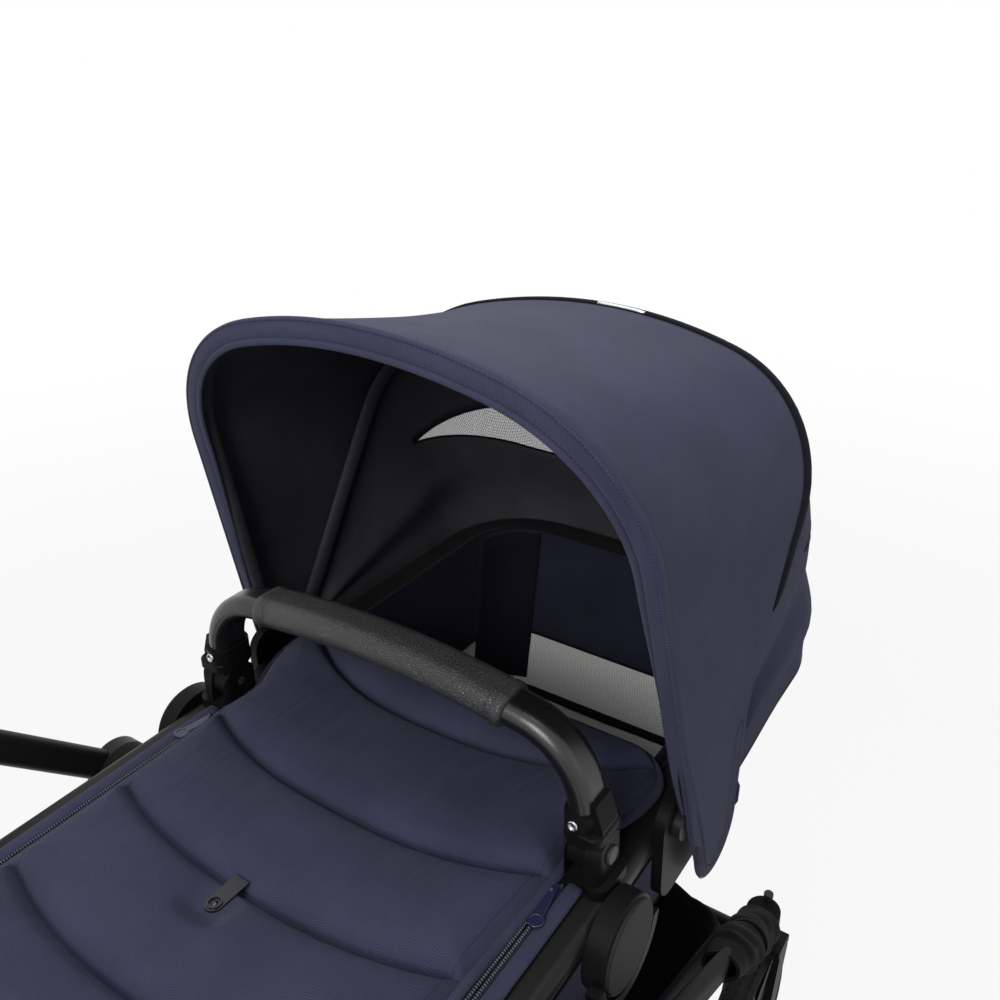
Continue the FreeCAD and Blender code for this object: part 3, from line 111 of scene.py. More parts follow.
def newPiece(name, points, faces, material, uv=None):
    mesh = bpy.data.meshes.new(name)
    mesh.from_pydata(placed(points).reshape(-1, 3).tolist(), [], faces)
    mesh.validate()
    if uv is not None:
        layer = mesh.uv_layers.new(name="UVMap")
        flat = np.asarray(uv, float).reshape(-1, 2) / 1000
        corners = np.zeros(len(mesh.loops), int)
        mesh.loops.foreach_get("vertex_index", corners)
        layer.data.foreach_set("uv", flat[corners].ravel())
    mesh.polygons.foreach_set("use_smooth", [True] * len(mesh.polygons))
    for each in material if isinstance(material, list) else [material]:
        mesh.materials.append(each)
    return linked(name, mesh)


def gridFaces(rows, across, loop=False, flip=False):
    faces = []
    for i in range(rows - 1):
        for j in range(across if loop else across - 1):
            k = (j + 1) % across
            face = (i * across + j, i * across + k, (i + 1) * across + k, (i + 1) * across + j)
            faces.append(face[::-1] if flip else face)
    return faces


def gridUv(grid):
    across = np.linalg.norm(np.diff(grid, axis=1), axis=2)
    u = np.concatenate([np.zeros((len(grid), 1)), np.cumsum(across, axis=1)], axis=1)
    u -= u[:, [grid.shape[1] // 2]]
    down = np.linalg.norm(np.diff(grid, axis=0), axis=2)
    v = np.concatenate([np.zeros((1, grid.shape[1])), np.cumsum(down, axis=0)], axis=0)
    return np.stack([u, v], axis=2)


def gridPiece(name, grid, material, loop=False, flip=False, caps=False):
    grid = np.asarray(grid, float)
    rows, across = grid.shape[:2]
    faces = gridFaces(rows, across, loop, flip)
    if caps:
        first, last = list(range(across)), [(rows - 1) * across + j for j in range(across)]
        faces += [first if flip else first[::-1], last[::-1] if flip else last]
    return newPiece(name, grid, faces, material, gridUv(grid))


def tubePiece(name, path, section, ups, material, loop=False):
    path = np.asarray(path, float)
    if loop:
        tangent = unit(np.roll(path, -1, axis=0) - np.roll(path, 1, axis=0))
    else:
        tangent = unit(np.gradient(path, axis=0))
    ups = np.broadcast_to(np.asarray(ups, float), path.shape)
    side = unit(np.cross(tangent, ups))
    up = np.cross(side, tangent)
    section = np.asarray(section, float)
    grid = path[:, None] + side[:, None] * section[None, :, :1] + up[:, None] * section[None, :, 1:]
    if loop:
        grid = np.concatenate([grid, grid[:1]])
    piece = gridPiece(name, grid, material, loop=True, flip=True, caps=not loop)
    if loop:
        tidyMesh(piece)
    return piece


def ringSection(width, height, count=12, power=2.0):
    turn = np.linspace(0, 2 * math.pi, count, endpoint=False)
    c, s = np.cos(turn), np.sin(turn)
    x = np.sign(c) * np.abs(c) ** (2 / power) * width / 2
    y = np.sign(s) * np.abs(s) ** (2 / power) * height / 2
    return np.stack([x, y], axis=1)


def lathePiece(name, profile, centre, axis, material, steps=48):
    axis = unit(axis)
    side = unit(np.cross(axis, (0.3, 0.2, 0.9)))
    other = np.cross(axis, side)
    turn = np.linspace(0, 2 * math.pi, steps, endpoint=False)
    spokes = np.cos(turn)[:, None] * side + np.sin(turn)[:, None] * other
    rows = [np.asarray(centre) + axis * along + spokes * radius for along, radius in profile]
    piece = gridPiece(name, rows, material, loop=True)
    tidyMesh(piece)
    return piece


def tidyMesh(piece, distance=1e-6):
    shape = bmesh.new()
    shape.from_mesh(piece.data)
    bmesh.ops.remove_doubles(shape, verts=shape.verts, dist=distance)
    bmesh.ops.recalc_face_normals(shape, faces=shape.faces)
    shape.to_mesh(piece.data)
    shape.free()


def mergeClose(piece, distance):
    shape = bmesh.new()
    shape.from_mesh(piece.data)
    bmesh.ops.remove_doubles(shape, verts=shape.verts, dist=distance)
    bmesh.ops.dissolve_degenerate(shape, edges=shape.edges, dist=distance)
    shape.to_mesh(piece.data)
    shape.free()


def smoothed(piece):
    piece.data.polygons.foreach_set("use_smooth", [True] * len(piece.data.polygons))
    return piece


def modified(piece, kind, **settings):
    modifier = piece.modifiers.new(kind.title(), kind)
    for key, value in settings.items():
        setattr(modifier, key, value)
    return modifier


def baked(piece):
    view = bpy.context.evaluated_depsgraph_get()
    mesh = bpy.data.meshes.new_from_object(piece.evaluated_get(view))
    piece.modifiers.clear()
    piece.data = mesh
    return piece


def joinPieces(name, pieces):
    shape = bmesh.new()
    materials = []
    mesh = bpy.data.meshes.new(name)
    for piece in pieces:
        start = len(shape.faces)
        shape.from_mesh(piece.data)
        shape.faces.ensure_lookup_table()
        numbers = []
        for material in piece.data.materials:
            if material not in materials:
                materials.append(material)
            numbers.append(materials.index(material))
        for face in shape.faces[start:]:
            face.material_index = numbers[face.material_index] if numbers else 0
        bpy.data.objects.remove(piece)
    shape.to_mesh(mesh)
    shape.free()
    for material in materials:
        mesh.materials.append(material)
    return linked(name, mesh)


def finished(piece, body, replaced=()):
    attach(piece, body)
    if replaced:
        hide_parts(*replaced)
    return piece


# Short ways to add nodes.
def wire(tree, kind, values=None, **options):
    node = tree.nodes.new(kind)
    for key, value in options.items():
        setattr(node, key, value)
    for key, value in (values or {}).items():
        plug(tree, value, node.inputs[key])
    return node


def plug(tree, value, socket):
    if isinstance(value, bpy.types.NodeSocket):
        tree.links.new(value, socket)
    else:
        socket.default_value = value


def calc(tree, operation, first, second=0.0, third=0.0):
    values = {0: first, 1: second}
    if operation in ("MULTIPLY_ADD", "SMOOTH_MIN", "SMOOTH_MAX"):
        values[2] = third
    return wire(tree, "ShaderNodeMath", values, operation=operation).outputs[0]


def remap(tree, value, low, high, newLow=0.0, newHigh=1.0):
    node = wire(tree, "ShaderNodeMapRange", {0: value, 1: low, 2: high, 3: newLow, 4: newHigh})
    node.interpolation_type = "SMOOTHSTEP"
    return node.outputs[0]


def mixColor(tree, factor, first, second, mode="MIX"):
    node = wire(tree, "ShaderNodeMix", {0: factor, 6: first, 7: second}, data_type="RGBA", blend_type=mode)
    return node.outputs[2]


def mixValue(tree, factor, first, second):
    return wire(tree, "ShaderNodeMix", {0: factor, 2: first, 3: second}, data_type="FLOAT").outputs[0]


def noise(tree, vector, scale, detail=3.0, roughness=0.55):
    values = {"Vector": vector, "Scale": scale, "Detail": detail, "Roughness": roughness}
    return wire(tree, "ShaderNodeTexNoise", values).outputs[0]


def socketKind(value):
    if isinstance(value, tuple):
        return "Color" if len(value) == 4 else "Vector"
    return value if isinstance(value, str) else "Float"


def newGroup(name, inputs, outputs, use="ShaderNodeTree"):
    group = bpy.data.node_groups.new(name, use)
    for label, value in inputs.items():
        kind = "NodeSocket" + socketKind(value)
        socket = group.interface.new_socket(label, in_out="INPUT", socket_type=kind)
        if not isinstance(value, str):
            socket.default_value = value
    for label, value in outputs.items():
        group.interface.new_socket(label, in_out="OUTPUT", socket_type="NodeSocket" + value)
    source = group.nodes.new("NodeGroupInput").outputs
    return group, source, group.nodes.new("NodeGroupOutput").inputs


def useGroup(tree, group, values):
    node = tree.nodes.new("ShaderNodeGroup")
    node.node_tree = group
    for key, value in values.items():
        plug(tree, value, node.inputs[key])
    return node.outputs


# Effects that several materials share: they put out colours, masks and heights only.
def buildWovenCloth():
    inputs = {"Vector": "Vector", "Threads": 900.0, "Slub": 0.3}
    outputs = {"Height": "Float", "Gap Shade": "Float", "Tone": "Float"}
    tree, source, out = newGroup("wovenCloth", inputs, outputs)
    values = {0: source["Vector"], 3: source["Threads"]}
    scaled = wire(tree, "ShaderNodeVectorMath", values, operation="SCALE")
    parts = wire(tree, "ShaderNodeSeparateXYZ", {0: scaled.outputs[0]}).outputs
    warpWave = calc(tree, "SINE", calc(tree, "MULTIPLY", parts[0], math.pi))
    weftWave = calc(tree, "SINE", calc(tree, "MULTIPLY", parts[1], math.pi))
    checker = calc(tree, "MULTIPLY", warpWave, weftWave)
    over = remap(tree, checker, -0.2, 0.2)
    height = mixValue(tree, over, calc(tree, "ABSOLUTE", warpWave), calc(tree, "ABSOLUTE", weftWave))
    slub = noise(tree, source["Vector"], 260.0, 2.0)
    uneven = calc(tree, "MULTIPLY", calc(tree, "SUBTRACT", slub, 0.5), source["Slub"])
    plug(tree, calc(tree, "ADD", height, uneven), out["Height"])
    # The gap mask is high between threads and where a thread passes under; the cloth paints it darker, as
    # painted shade in the weave.
    betweenShade = calc(tree, "MULTIPLY", remap(tree, height, 0.0, 0.6, 1.0, 0.0), 0.75)
    sunkShade = calc(tree, "MULTIPLY", remap(tree, checker, 0.05, 0.9), 0.9)
    plug(tree, calc(tree, "MAXIMUM", betweenShade, sunkShade), out["Gap Shade"])
    plug(tree, noise(tree, source["Vector"], 14.0, 4.0), out["Tone"])
    return tree


def buildNetCloth():
    inputs = {"Vector": "Vector", "Holes": 420.0, "Size": 0.32}
    tree, source, out = newGroup("netCloth", inputs, {"Hole": "Float", "Height": "Float"})
    cell = {"Vector": source["Vector"], "Scale": source["Holes"], "Randomness": 0.12}
    far = wire(tree, "ShaderNodeTexVoronoi", cell, feature="F1").outputs[0]
    edge = calc(tree, "ADD", source["Size"], 0.14)
    hole = wire(tree, "ShaderNodeMapRange", {0: far, 1: source["Size"], 2: edge, 3: 1.0, 4: 0.0}).outputs[0]
    plug(tree, hole, out["Hole"])
    plug(tree, remap(tree, far, 0.1, 0.6), out["Height"])
    return tree


def buildLeatherGrain():
    inputs = {"Vector": "Vector", "Cells": 900.0, "Folds": 70.0}
    tree, source, out = newGroup("leatherGrain", inputs, {"Height": "Float", "Crease Shade": "Float"})
    cell = {"Vector": source["Vector"], "Scale": source["Cells"], "Randomness": 1.0}
    edge = wire(tree, "ShaderNodeTexVoronoi", cell, feature="DISTANCE_TO_EDGE").outputs[0]
    pebble = remap(tree, edge, 0.0, 0.22)
    folds = remap(tree, noise(tree, source["Vector"], source["Folds"], 4.0, 0.6), 0.42, 0.58)
    plug(tree, calc(tree, "MULTIPLY_ADD", folds, 0.35, pebble), out["Height"])
    # The crease mask is high in the valleys between the grain's pebbles; the leather paints it darker, as
    # painted shade.
    plug(tree, calc(tree, "SUBTRACT", 1.0, pebble), out["Crease Shade"])
    return tree


def buildMouldedGrain():
    inputs = {"Vector": "Vector", "Scale": 1400.0}
    tree, source, out = newGroup("mouldedGrain", inputs, {"Height": "Float", "Shade": "Float"})
    fine = noise(tree, source["Vector"], source["Scale"], 2.0, 0.6)
    plug(tree, fine, out["Height"])
    plug(tree, noise(tree, source["Vector"], 18.0, 3.0), out["Shade"])
    return tree


def buildWearAndDust():
    inputs = {"Vector": "Vector", "Color": (0.5, 0.5, 0.5, 1.0), "Edge Color": (0.8, 0.8, 0.8, 1.0),
              "Wear": 0.4, "Dust": 0.1, "Edge Width": 0.0008}
    tree, source, out = newGroup("wearAndDust", inputs, {"Color": "Color", "Mask": "Float"})
    geometry = tree.nodes.new("ShaderNodeNewGeometry").outputs
    rounded = wire(tree, "ShaderNodeBevel", {"Radius": source["Edge Width"]}, samples=4).outputs[0]
    same = wire(tree, "ShaderNodeVectorMath", {0: rounded, 1: geometry["Normal"]}, operation="DOT_PRODUCT")
    edge = remap(tree, same.outputs["Value"], 0.9, 0.995, 1.0, 0.0)
    rough = remap(tree, noise(tree, source["Vector"], 60.0, 4.0), 0.35, 0.6)
    worn = calc(tree, "MULTIPLY", calc(tree, "MULTIPLY", edge, rough), source["Wear"])
    color = mixColor(tree, worn, source["Color"], source["Edge Color"])
    upward = wire(tree, "ShaderNodeSeparateXYZ", {0: geometry["Normal"]}).outputs[2]
    settled = calc(tree, "MULTIPLY", remap(tree, upward, 0.5, 1.0), noise(tree, source["Vector"], 25.0, 5.0))
    dust = calc(tree, "MULTIPLY", settled, source["Dust"])
    plug(tree, mixColor(tree, dust, color, (0.45, 0.43, 0.4, 1.0)), out["Color"])
    plug(tree, calc(tree, "MAXIMUM", worn, dust), out["Mask"])
    return tree


wovenCloth = buildWovenCloth()
netCloth = buildNetCloth()
leatherGrain = buildLeatherGrain()
mouldedGrain = buildMouldedGrain()
wearAndDust = buildWearAndDust()


# Materials.
def shade(color, factor=1.0, lift=0.0):
    return tuple(min(1.0, c * factor + lift) for c in color) + (1.0,)


looks = {}


def newMaterial(name, **shader):
    material = bpy.data.materials.new(name)
    material.use_nodes = True
    looks[name] = material
    tree = material.node_tree
    principled = tree.nodes["Principled BSDF"]
    for key, value in shader.items():
        principled.inputs[key.replace("_", " ")].default_value = value
    coords = tree.nodes.new("ShaderNodeTexCoord").outputs
    return tree, principled.inputs, coords


def bump(tree, height, strength, distance, sockets):
    values = {"Height": height, "Strength": strength, "Distance": distance}
    plug(tree, wire(tree, "ShaderNodeBump", values).outputs[0], sockets["Normal"])


def clothMaterial(name, color, threads=800.0, deep=0.45, lift=1.4, sheen=0.12, shine=0.1,
                  tint=(0.75, 0.76, 0.85, 1.0)):
    rough = 0.84
    facts = {"Sheen_Weight": sheen, "Sheen_Roughness": 0.4, "Sheen_Tint": tint, "Specular_IOR_Level": shine}
    tree, sockets, where = newMaterial(name, **facts)
    weave = useGroup(tree, wovenCloth, {"Vector": where["UV"], "Threads": threads, "Slub": 0.35})
    # Raised threads get painted light (colour times lift), and the gaps and sunk threads get painted shade
    # (colour times deep).
    thread = mixColor(tree, weave["Gap Shade"], shade(color, lift), shade(color, deep))
    tone = remap(tree, weave["Tone"], 0.3, 0.7, 0.9, 1.1)
    grey = wire(tree, "ShaderNodeCombineColor", {0: tone, 1: tone, 2: tone}).outputs[0]
    base = mixColor(tree, 1.0, thread, grey, "MULTIPLY")
    plug(tree, base, sockets["Base Color"])
    plug(tree, remap(tree, weave["Gap Shade"], 0.0, 1.0, rough - 0.06, rough + 0.06), sockets["Roughness"])
    bump(tree, weave["Height"], 0.55, 0.0003, sockets)


def netMaterial(name, yarn, behind, size, clear):
    facts = {"Sheen_Weight": 0.2, "Sheen_Roughness": 0.4, "Specular_IOR_Level": 0.08}
    tree, sockets, where = newMaterial(name, **facts)
    net = useGroup(tree, netCloth, {"Vector": where["UV"], "Holes": 420.0, "Size": size})
    plug(tree, mixColor(tree, net["Hole"], shade(yarn), shade(behind)), sockets["Base Color"])
    plug(tree, remap(tree, net["Hole"], 0.0, 1.0, 0.75, 0.95), sockets["Roughness"])
    plug(tree, calc(tree, "MULTIPLY_ADD", net["Hole"], -clear, 1.0), sockets["Alpha"])
    bump(tree, net["Height"], 0.6, 0.0004, sockets)


def leatherMaterial(name, color):
    rough = 0.34
    tree, sockets, where = newMaterial(name, Specular_IOR_Level=0.85)
    grain = useGroup(tree, leatherGrain, {"Vector": where["Object"], "Cells": 620.0, "Folds": 80.0})
    # The grain's valleys are painted darker, as painted shade.
    creaseShaded = mixColor(tree, grain["Crease Shade"], shade(color), shade(color, 0.45))
    facts = {"Vector": where["Object"], "Color": creaseShaded, "Wear": 0.25, "Dust": 0.04,
             "Edge Color": shade(color, 2.5)}
    worn = useGroup(tree, wearAndDust, facts)
    plug(tree, worn["Color"], sockets["Base Color"])
    plug(tree, remap(tree, grain["Crease Shade"], 0.0, 1.0, rough, rough + 0.2), sockets["Roughness"])
    bump(tree, grain["Height"], 0.75, 0.0005, sockets)


def mouldedMaterial(name, color, rough, wear, dust=0.01, grain=1400.0, height=0.00006, shine=0.2, **shader):
    tree, sockets, where = newMaterial(name, Specular_IOR_Level=shine, **shader)
    surface = useGroup(tree, mouldedGrain, {"Vector": where["Object"], "Scale": grain})
    varied = mixColor(tree, surface["Shade"], shade(color, 0.85), shade(color, 1.15))
    facts = {"Vector": where["Object"], "Color": varied, "Wear": wear, "Dust": dust,
             "Edge Color": shade(color, 2.2, 0.02)}
    worn = useGroup(tree, wearAndDust, facts)
    plug(tree, worn["Color"], sockets["Base Color"])
    plug(tree, remap(tree, surface["Height"], 0.3, 0.7, rough - 0.05, rough + 0.07), sockets["Roughness"])
    bump(tree, surface["Height"], 0.5, height, sockets)


def brushedMaterial(name, color, rough=0.25):
    tree, sockets, where = newMaterial(name, Metallic=1.0)
    pulled = wire(tree, "ShaderNodeMapping", {"Vector": where["Object"], "Scale": (1500.0, 60.0, 60.0)})
    lines = noise(tree, pulled.outputs[0], 1.0, 3.0)
    plug(tree, mixColor(tree, lines, shade(color, 0.8), shade(color)), sockets["Base Color"])
    plug(tree, remap(tree, lines, 0.2, 0.8, rough - 0.05, rough + 0.12), sockets["Roughness"])
    bump(tree, lines, 0.3, 0.00003, sockets)


white = (1.0, 1.0, 1.0, 1.0)
navy = (0.044, 0.0455, 0.083)
clothMaterial("navyCloth", navy, threads=1000.0)
clothMaterial("hemCloth", navy, threads=1000.0)
clothMaterial("liningCloth", (0.05, 0.049, 0.058), threads=1000.0, sheen=0.03, shine=0.04)
clothMaterial("linerCloth", (0.02, 0.02, 0.035), threads=900.0, sheen=0.05, shine=0.05)
clothMaterial("blackCloth", (0.008, 0.008, 0.009), sheen=0.05, shine=0.06, tint=(0.9, 0.9, 0.9, 1.0))
clothMaterial("bindingTape", (0.009, 0.009, 0.014), threads=1300.0, sheen=0.05, shine=0.06)
clothMaterial("zipTape", (0.016, 0.017, 0.03), threads=1500.0, sheen=0.08)
clothMaterial("paleKnit", (0.74, 0.74, 0.72), threads=600.0, deep=0.8, lift=1.05, sheen=0.05, tint=white)
netMaterial("paleNet", (0.9, 0.9, 0.88), (0.8, 0.8, 0.78), size=0.34, clear=0.4)
netMaterial("windowNet", (0.2, 0.2, 0.195), (0.2, 0.2, 0.195), size=0.36, clear=0.45)
netMaterial("darkNet", (0.03, 0.031, 0.036), (0.02, 0.02, 0.024), size=0.4, clear=0.75)
mouldedMaterial("thread", (0.022, 0.023, 0.042), rough=0.7, wear=0.0, dust=0.0)
leatherMaterial("gripLeather", (0.0075, 0.0075, 0.008))
mouldedMaterial("paintedTube", (0.013, 0.013, 0.0135), rough=0.4, wear=0.06, shine=0.16)
mouldedMaterial("legTube", (0.009, 0.009, 0.0095), rough=0.6, wear=0.06, shine=0.05)
mouldedMaterial("handleTube", (0.0055, 0.0055, 0.006), rough=0.3, wear=0.04, shine=0.6)
mouldedMaterial("blackPlastic", (0.0065, 0.0065, 0.007), rough=0.42, wear=0.12, dust=0.015, grain=1100.0,
                height=0.00009, shine=0.07)
mouldedMaterial("ridgePlastic", (0.035, 0.035, 0.037), rough=0.35, wear=0.2)
mouldedMaterial("lensGrey", (0.03, 0.03, 0.031), rough=0.5, wear=0.05, shine=0.04)
mouldedMaterial("glossNavy", (0.02, 0.024, 0.07), rough=0.22, wear=0.15, shine=0.4, Coat_Weight=0.3,
                Coat_Roughness=0.1)
brushedMaterial("steel", (0.55, 0.55, 0.56))
brushedMaterial("darkMetal", (0.07, 0.07, 0.075), rough=0.3)
mouldedMaterial("rubber", (0.012, 0.012, 0.012), rough=0.75, wear=0.08, dust=0.08, grain=700.0,
                height=0.00015)
mouldedMaterial("teeth", (0.13, 0.135, 0.17), rough=0.3, wear=0.1, dust=0.0, shine=0.4)
brushedMaterial("reflective", (0.75, 0.76, 0.78), rough=0.35)
print("materials made:", len(looks))


# Rows of stitches, teeth and tread blocks, made with Geometry Nodes.
def buildRow(name, shape):
    inputs = {"Geometry": "Geometry", "Pitch": 0.003, "Size": (0.0005, 0.0005, 0.0016),
              "Material": "Material"}
    tree, source, out = newGroup(name, inputs, {"Geometry": "Geometry"}, "GeometryNodeTree")
    spaced = wire(tree, "GeometryNodeResampleCurve", {"Curve": source["Geometry"], "Length": source["Pitch"]},
                  mode="LENGTH")
    points = wire(tree, "GeometryNodeCurveToPoints", {"Curve": spaced.outputs["Curve"]}, mode="EVALUATED")
    if shape == "bead":
        unitShape = wire(tree, "GeometryNodeMeshUVSphere", {"Segments": 6, "Rings": 4, "Radius": 1.0})
    else:
        unitShape = wire(tree, "GeometryNodeMeshCube", {"Size": (2.0, 2.0, 2.0)})
    solid = unitShape.outputs["Mesh"]
    sized = wire(tree, "GeometryNodeTransform", {"Geometry": solid, "Scale": source["Size"]})
    spread = {"Points": points.outputs["Points"], "Instance": sized.outputs["Geometry"],
              "Rotation": points.outputs["Rotation"]}
    copies = wire(tree, "GeometryNodeInstanceOnPoints", spread)
    real = wire(tree, "GeometryNodeRealizeInstances", {"Geometry": copies.outputs["Instances"]})
    finish = {"Geometry": real.outputs["Geometry"], "Material": source["Material"]}
    painted = wire(tree, "GeometryNodeSetMaterial", finish)
    plug(tree, painted.outputs["Geometry"], out["Geometry"])
    return tree


beadRow = buildRow("beadRow", "bead")
blockRow = buildRow("blockRow", "block")


def rowPiece(name, tree, paths, material, pitch, size, loop=False):
    curve = bpy.data.curves.new(name + "Path", "CURVE")
    curve.dimensions = "3D"
    for path in paths:
        spots = placed(path)
        spline = curve.splines.new("POLY")
        spline.points.add(len(spots) - 1)
        spline.points.foreach_set("co", np.concatenate([spots, np.ones((len(spots), 1))], axis=1).ravel())
        spline.use_cyclic_u = loop
    holder = linked(name + "Path", curve)
    modifier = holder.modifiers.new("Row", "NODES")
    modifier.node_group = tree
    values = {"Pitch": pitch / 1000, "Size": [s / 1000 for s in size], "Material": material}
    for item in tree.interface.items_tree:
        if item.in_out == "INPUT" and item.name in values:
            modifier[item.identifier] = values[item.name]
    view = bpy.context.evaluated_depsgraph_get()
    mesh = bpy.data.meshes.new_from_object(holder.evaluated_get(view))
    bpy.data.objects.remove(holder)
    mesh.name = name
    return linked(name, mesh)


stitch = {"pitch": 3.4, "size": (0.42, 0.42, 1.25)}


def stitchPiece(name, paths, loop=False, **changes):
    facts = dict(stitch, **changes)
    return rowPiece(name, beadRow, paths, looks["thread"], facts["pitch"], facts["size"], loop)


frontArch = {"lean": -12.0, "y": 82.0, "rise": 15.0, "half": 240.0, "apex": 425.0, "corner": 160.0,
             "crown": 450.0, "flare": 16.0, "foot": 10.0, "cornerFrom": 253.7}
rearArch = {"lean": 31.7, "y": 129.0, "rise": 0.0, "half": 256.0, "apex": 421.0, "corner": 145.0,
            "crown": 540.0, "flare": 0.0, "foot": 10.0}
canopy = {"sideRise": 112.0, "flapBack": 12.0, "flapFall": 2.4, "sag": 7.0, "cloth": 2.4, "depthSteps": 26,
          "tipSteps": 16, "tipFront": (98.0, -36.0), "tipBend": (79.9, 24.8), "tipRear": (180.0, -30.0),
          "tipDrop": -76.0, "seamFoot": (190.0, 60.0), "tipFace": 256.0}


def archLine(arch, inset=0.0, low=None, steps=(8, 14, 22), back=0.0, fall=0.0):
    half, apex = arch["half"] - inset, arch["apex"] - inset
    corner, crown = arch["corner"] - inset, arch["crown"] - inset
    centreX, crownS = half - corner, apex - crown
    cornerS = crownS + math.sqrt((crown - corner) ** 2 - centreX ** 2)
    touch = math.atan2(cornerS - crownS, centreX)
    foot = arch["foot"] if low is None else low
    rise = np.linspace(foot, cornerS, steps[0])[:-1]
    side = [(half + arch["flare"] * (cornerS - s) / (cornerS - arch["foot"]), s) for s in rise]
    bend = [(centreX + corner * math.cos(a), cornerS + corner * math.sin(a))
            for a in np.linspace(0, touch, steps[1])[:-1]]
    top = [(crown * math.cos(a), crownS + crown * math.sin(a))
           for a in np.linspace(touch, math.pi - touch, steps[2])]
    right = side + bend
    flat = np.array(right + top + [(-x, s) for x, s in reversed(right)])
    lean = math.radians(arch["lean"])
    return np.stack([flat[:, 0], arch["y"] + back + flat[:, 1] * math.sin(lean),
                     arch["rise"] - fall + flat[:, 1] * math.cos(lean)], axis=1)


def alongFor(arch, rise, fall=0.0):
    return (rise - arch["rise"] + fall) / math.cos(math.radians(arch["lean"]))


def frontPlaneY(rise):
    return frontArch["y"] + (rise - frontArch["rise"]) * math.tan(math.radians(frontArch["lean"]))


def tipCurve(count):
    (y0, z0), (y1, z1) = canopy["tipFront"], canopy["tipRear"]
    y2, z2 = (y0 + y1) / 2 + 6, canopy["tipDrop"]
    spread = np.array([[y0 - y2, z0 - z2], [y1 - y2, z1 - z2]]) * 2
    right = np.array([y0 ** 2 - y2 ** 2 + z0 ** 2 - z2 ** 2, y1 ** 2 - y2 ** 2 + z1 ** 2 - z2 ** 2])
    centre = np.linalg.solve(spread, right)
    radius = math.hypot(y2 - centre[0], z2 - centre[1])
    first = math.atan2(z0 - centre[1], y0 - centre[0])
    last = math.atan2(z1 - centre[1], y1 - centre[0])
    first -= 2 * math.pi if first > last else 0
    turn = np.linspace(first, last, count)
    return np.stack([centre[0] + radius * np.cos(turn), centre[1] + radius * np.sin(turn)], axis=1)


def frontFaceX(rise):
    lean = math.radians(frontArch["lean"])
    s = (np.asarray(rise) - frontArch["rise"]) / math.cos(lean)
    cornerS = frontArch["cornerFrom"]
    share = np.clip((cornerS - s) / (cornerS - frontArch["foot"]), 0, 1)
    return frontArch["half"] + frontArch["flare"] * share


def tipRows():
    rows, depth = canopy["tipSteps"], canopy["depthSteps"]
    top = canopy["sideRise"]
    front = evenly([canopy["tipFront"], canopy["tipBend"], (frontPlaneY(top), top)], rows)
    rearTop = (rearArch["y"] + canopy["flapBack"] + alongFor(rearArch, top, canopy["flapFall"])
               * math.sin(math.radians(rearArch["lean"])), top)
    rear = evenly([canopy["tipRear"], canopy["seamFoot"], rearTop], rows)
    v = np.linspace(0, 1, depth)[:, None]
    bottom, lid = tipCurve(depth), front[-1] * (1 - v) + rear[-1] * v
    grid = []
    for i in range(rows - 1):
        t = i / (rows - 1)
        corners = (1 - t) * ((1 - v) * bottom[0] + v * bottom[-1]) + t * ((1 - v) * lid[0] + v * lid[-1])
        line = (1 - v) * front[i] + v * rear[i] + (1 - t) * bottom + t * lid - corners
        faceX = frontFaceX(line[:, 1]) * (1 - v[:, 0]) + canopy["tipFace"] * v[:, 0]
        grid.append(np.column_stack([faceX, line]))
    return np.array(grid)


def mirroredX(points):
    return np.asarray(points) * np.array([-1, 1, 1])


def canopyGrid():
    top, depth = canopy["sideRise"], canopy["depthSteps"]
    front = archLine(frontArch, low=alongFor(frontArch, top))
    rear = archLine(rearArch, low=alongFor(rearArch, top, canopy["flapFall"]), back=canopy["flapBack"],
                    fall=canopy["flapFall"])
    v = np.linspace(0, 1, depth)[None, :, None]
    over = front[:, None] * (1 - v) + rear[:, None] * v
    tip = tipRows()
    return np.concatenate([tip, over, mirroredX(tip[::-1])])


def gridNormals(grid):
    return unit(np.cross(np.gradient(grid, axis=1), np.gradient(grid, axis=0)))


def canopyShape():
    grid = canopyGrid()
    normal = gridNormals(grid)
    v = np.linspace(0, 1, grid.shape[1])[None, :]
    high = smooth(grid[:, :, 2], 120, 330)
    sag = canopy["sag"] * 4 * v * (1 - v) * high
    lift = 2.0 * smooth(v, 0.86, 1.0) * smooth(grid[:, :, 2], 170, 330)
    wave = np.sin(grid[:, :, 0] / 19 + grid[:, :, 1] / 31) * np.sin(grid[:, :, 2] / 23)
    ripple = 0.5 * wave * 4 * v * (1 - v)
    return grid + normal * (lift + ripple - sag)[:, :, None]


def makeCanopyCloth():
    grid = canopyShape()
    piece = gridPiece("canopyCloth", grid, [looks["navyCloth"], looks["liningCloth"]])
    modified(piece, "SUBSURF", levels=1, render_levels=1)
    modified(piece, "SOLIDIFY", thickness=canopy["cloth"] / 1000, offset=-1.0, material_offset=1)
    baked(piece)
    return piece, grid


hemSteps = (10, 20, 40)


def hemPath():
    top = canopy["sideRise"]
    rear = evenly([canopy["seamFoot"], canopy["tipRear"]], 9)[:-1]
    tip = tipCurve(22)[::-1]
    front = evenly([canopy["tipFront"], canopy["tipBend"], (frontPlaneY(top), top)], 14)[1:-1]
    side = np.concatenate([rear, tip, front])
    faceX = np.concatenate([np.full(len(rear), canopy["tipFace"]),
                            np.linspace(canopy["tipFace"], frontFaceX(tip[-1, 1]), len(tip)),
                            frontFaceX(front[:, 1])])
    side = np.column_stack([faceX, side])
    over = archLine(frontArch, low=alongFor(frontArch, top), steps=hemSteps)
    return np.concatenate([side, over, mirroredX(side[::-1])]), len(side)


hem = {"band": 15.0, "lip": 6.5, "roll": 82.0, "tipRoll": 6.0, "thick": 3.2, "turnFrom": -40.0,
       "turnTo": 105.0, "lipFrom": 120.0, "lipTo": 280.0, "frontDepth": 14.0, "reach": 9.0}


def eased(values, rounds):
    for _ in range(rounds):
        values[1:-1] = (values[:-2] + 2 * values[1:-1] + values[2:]) / 4
    return values


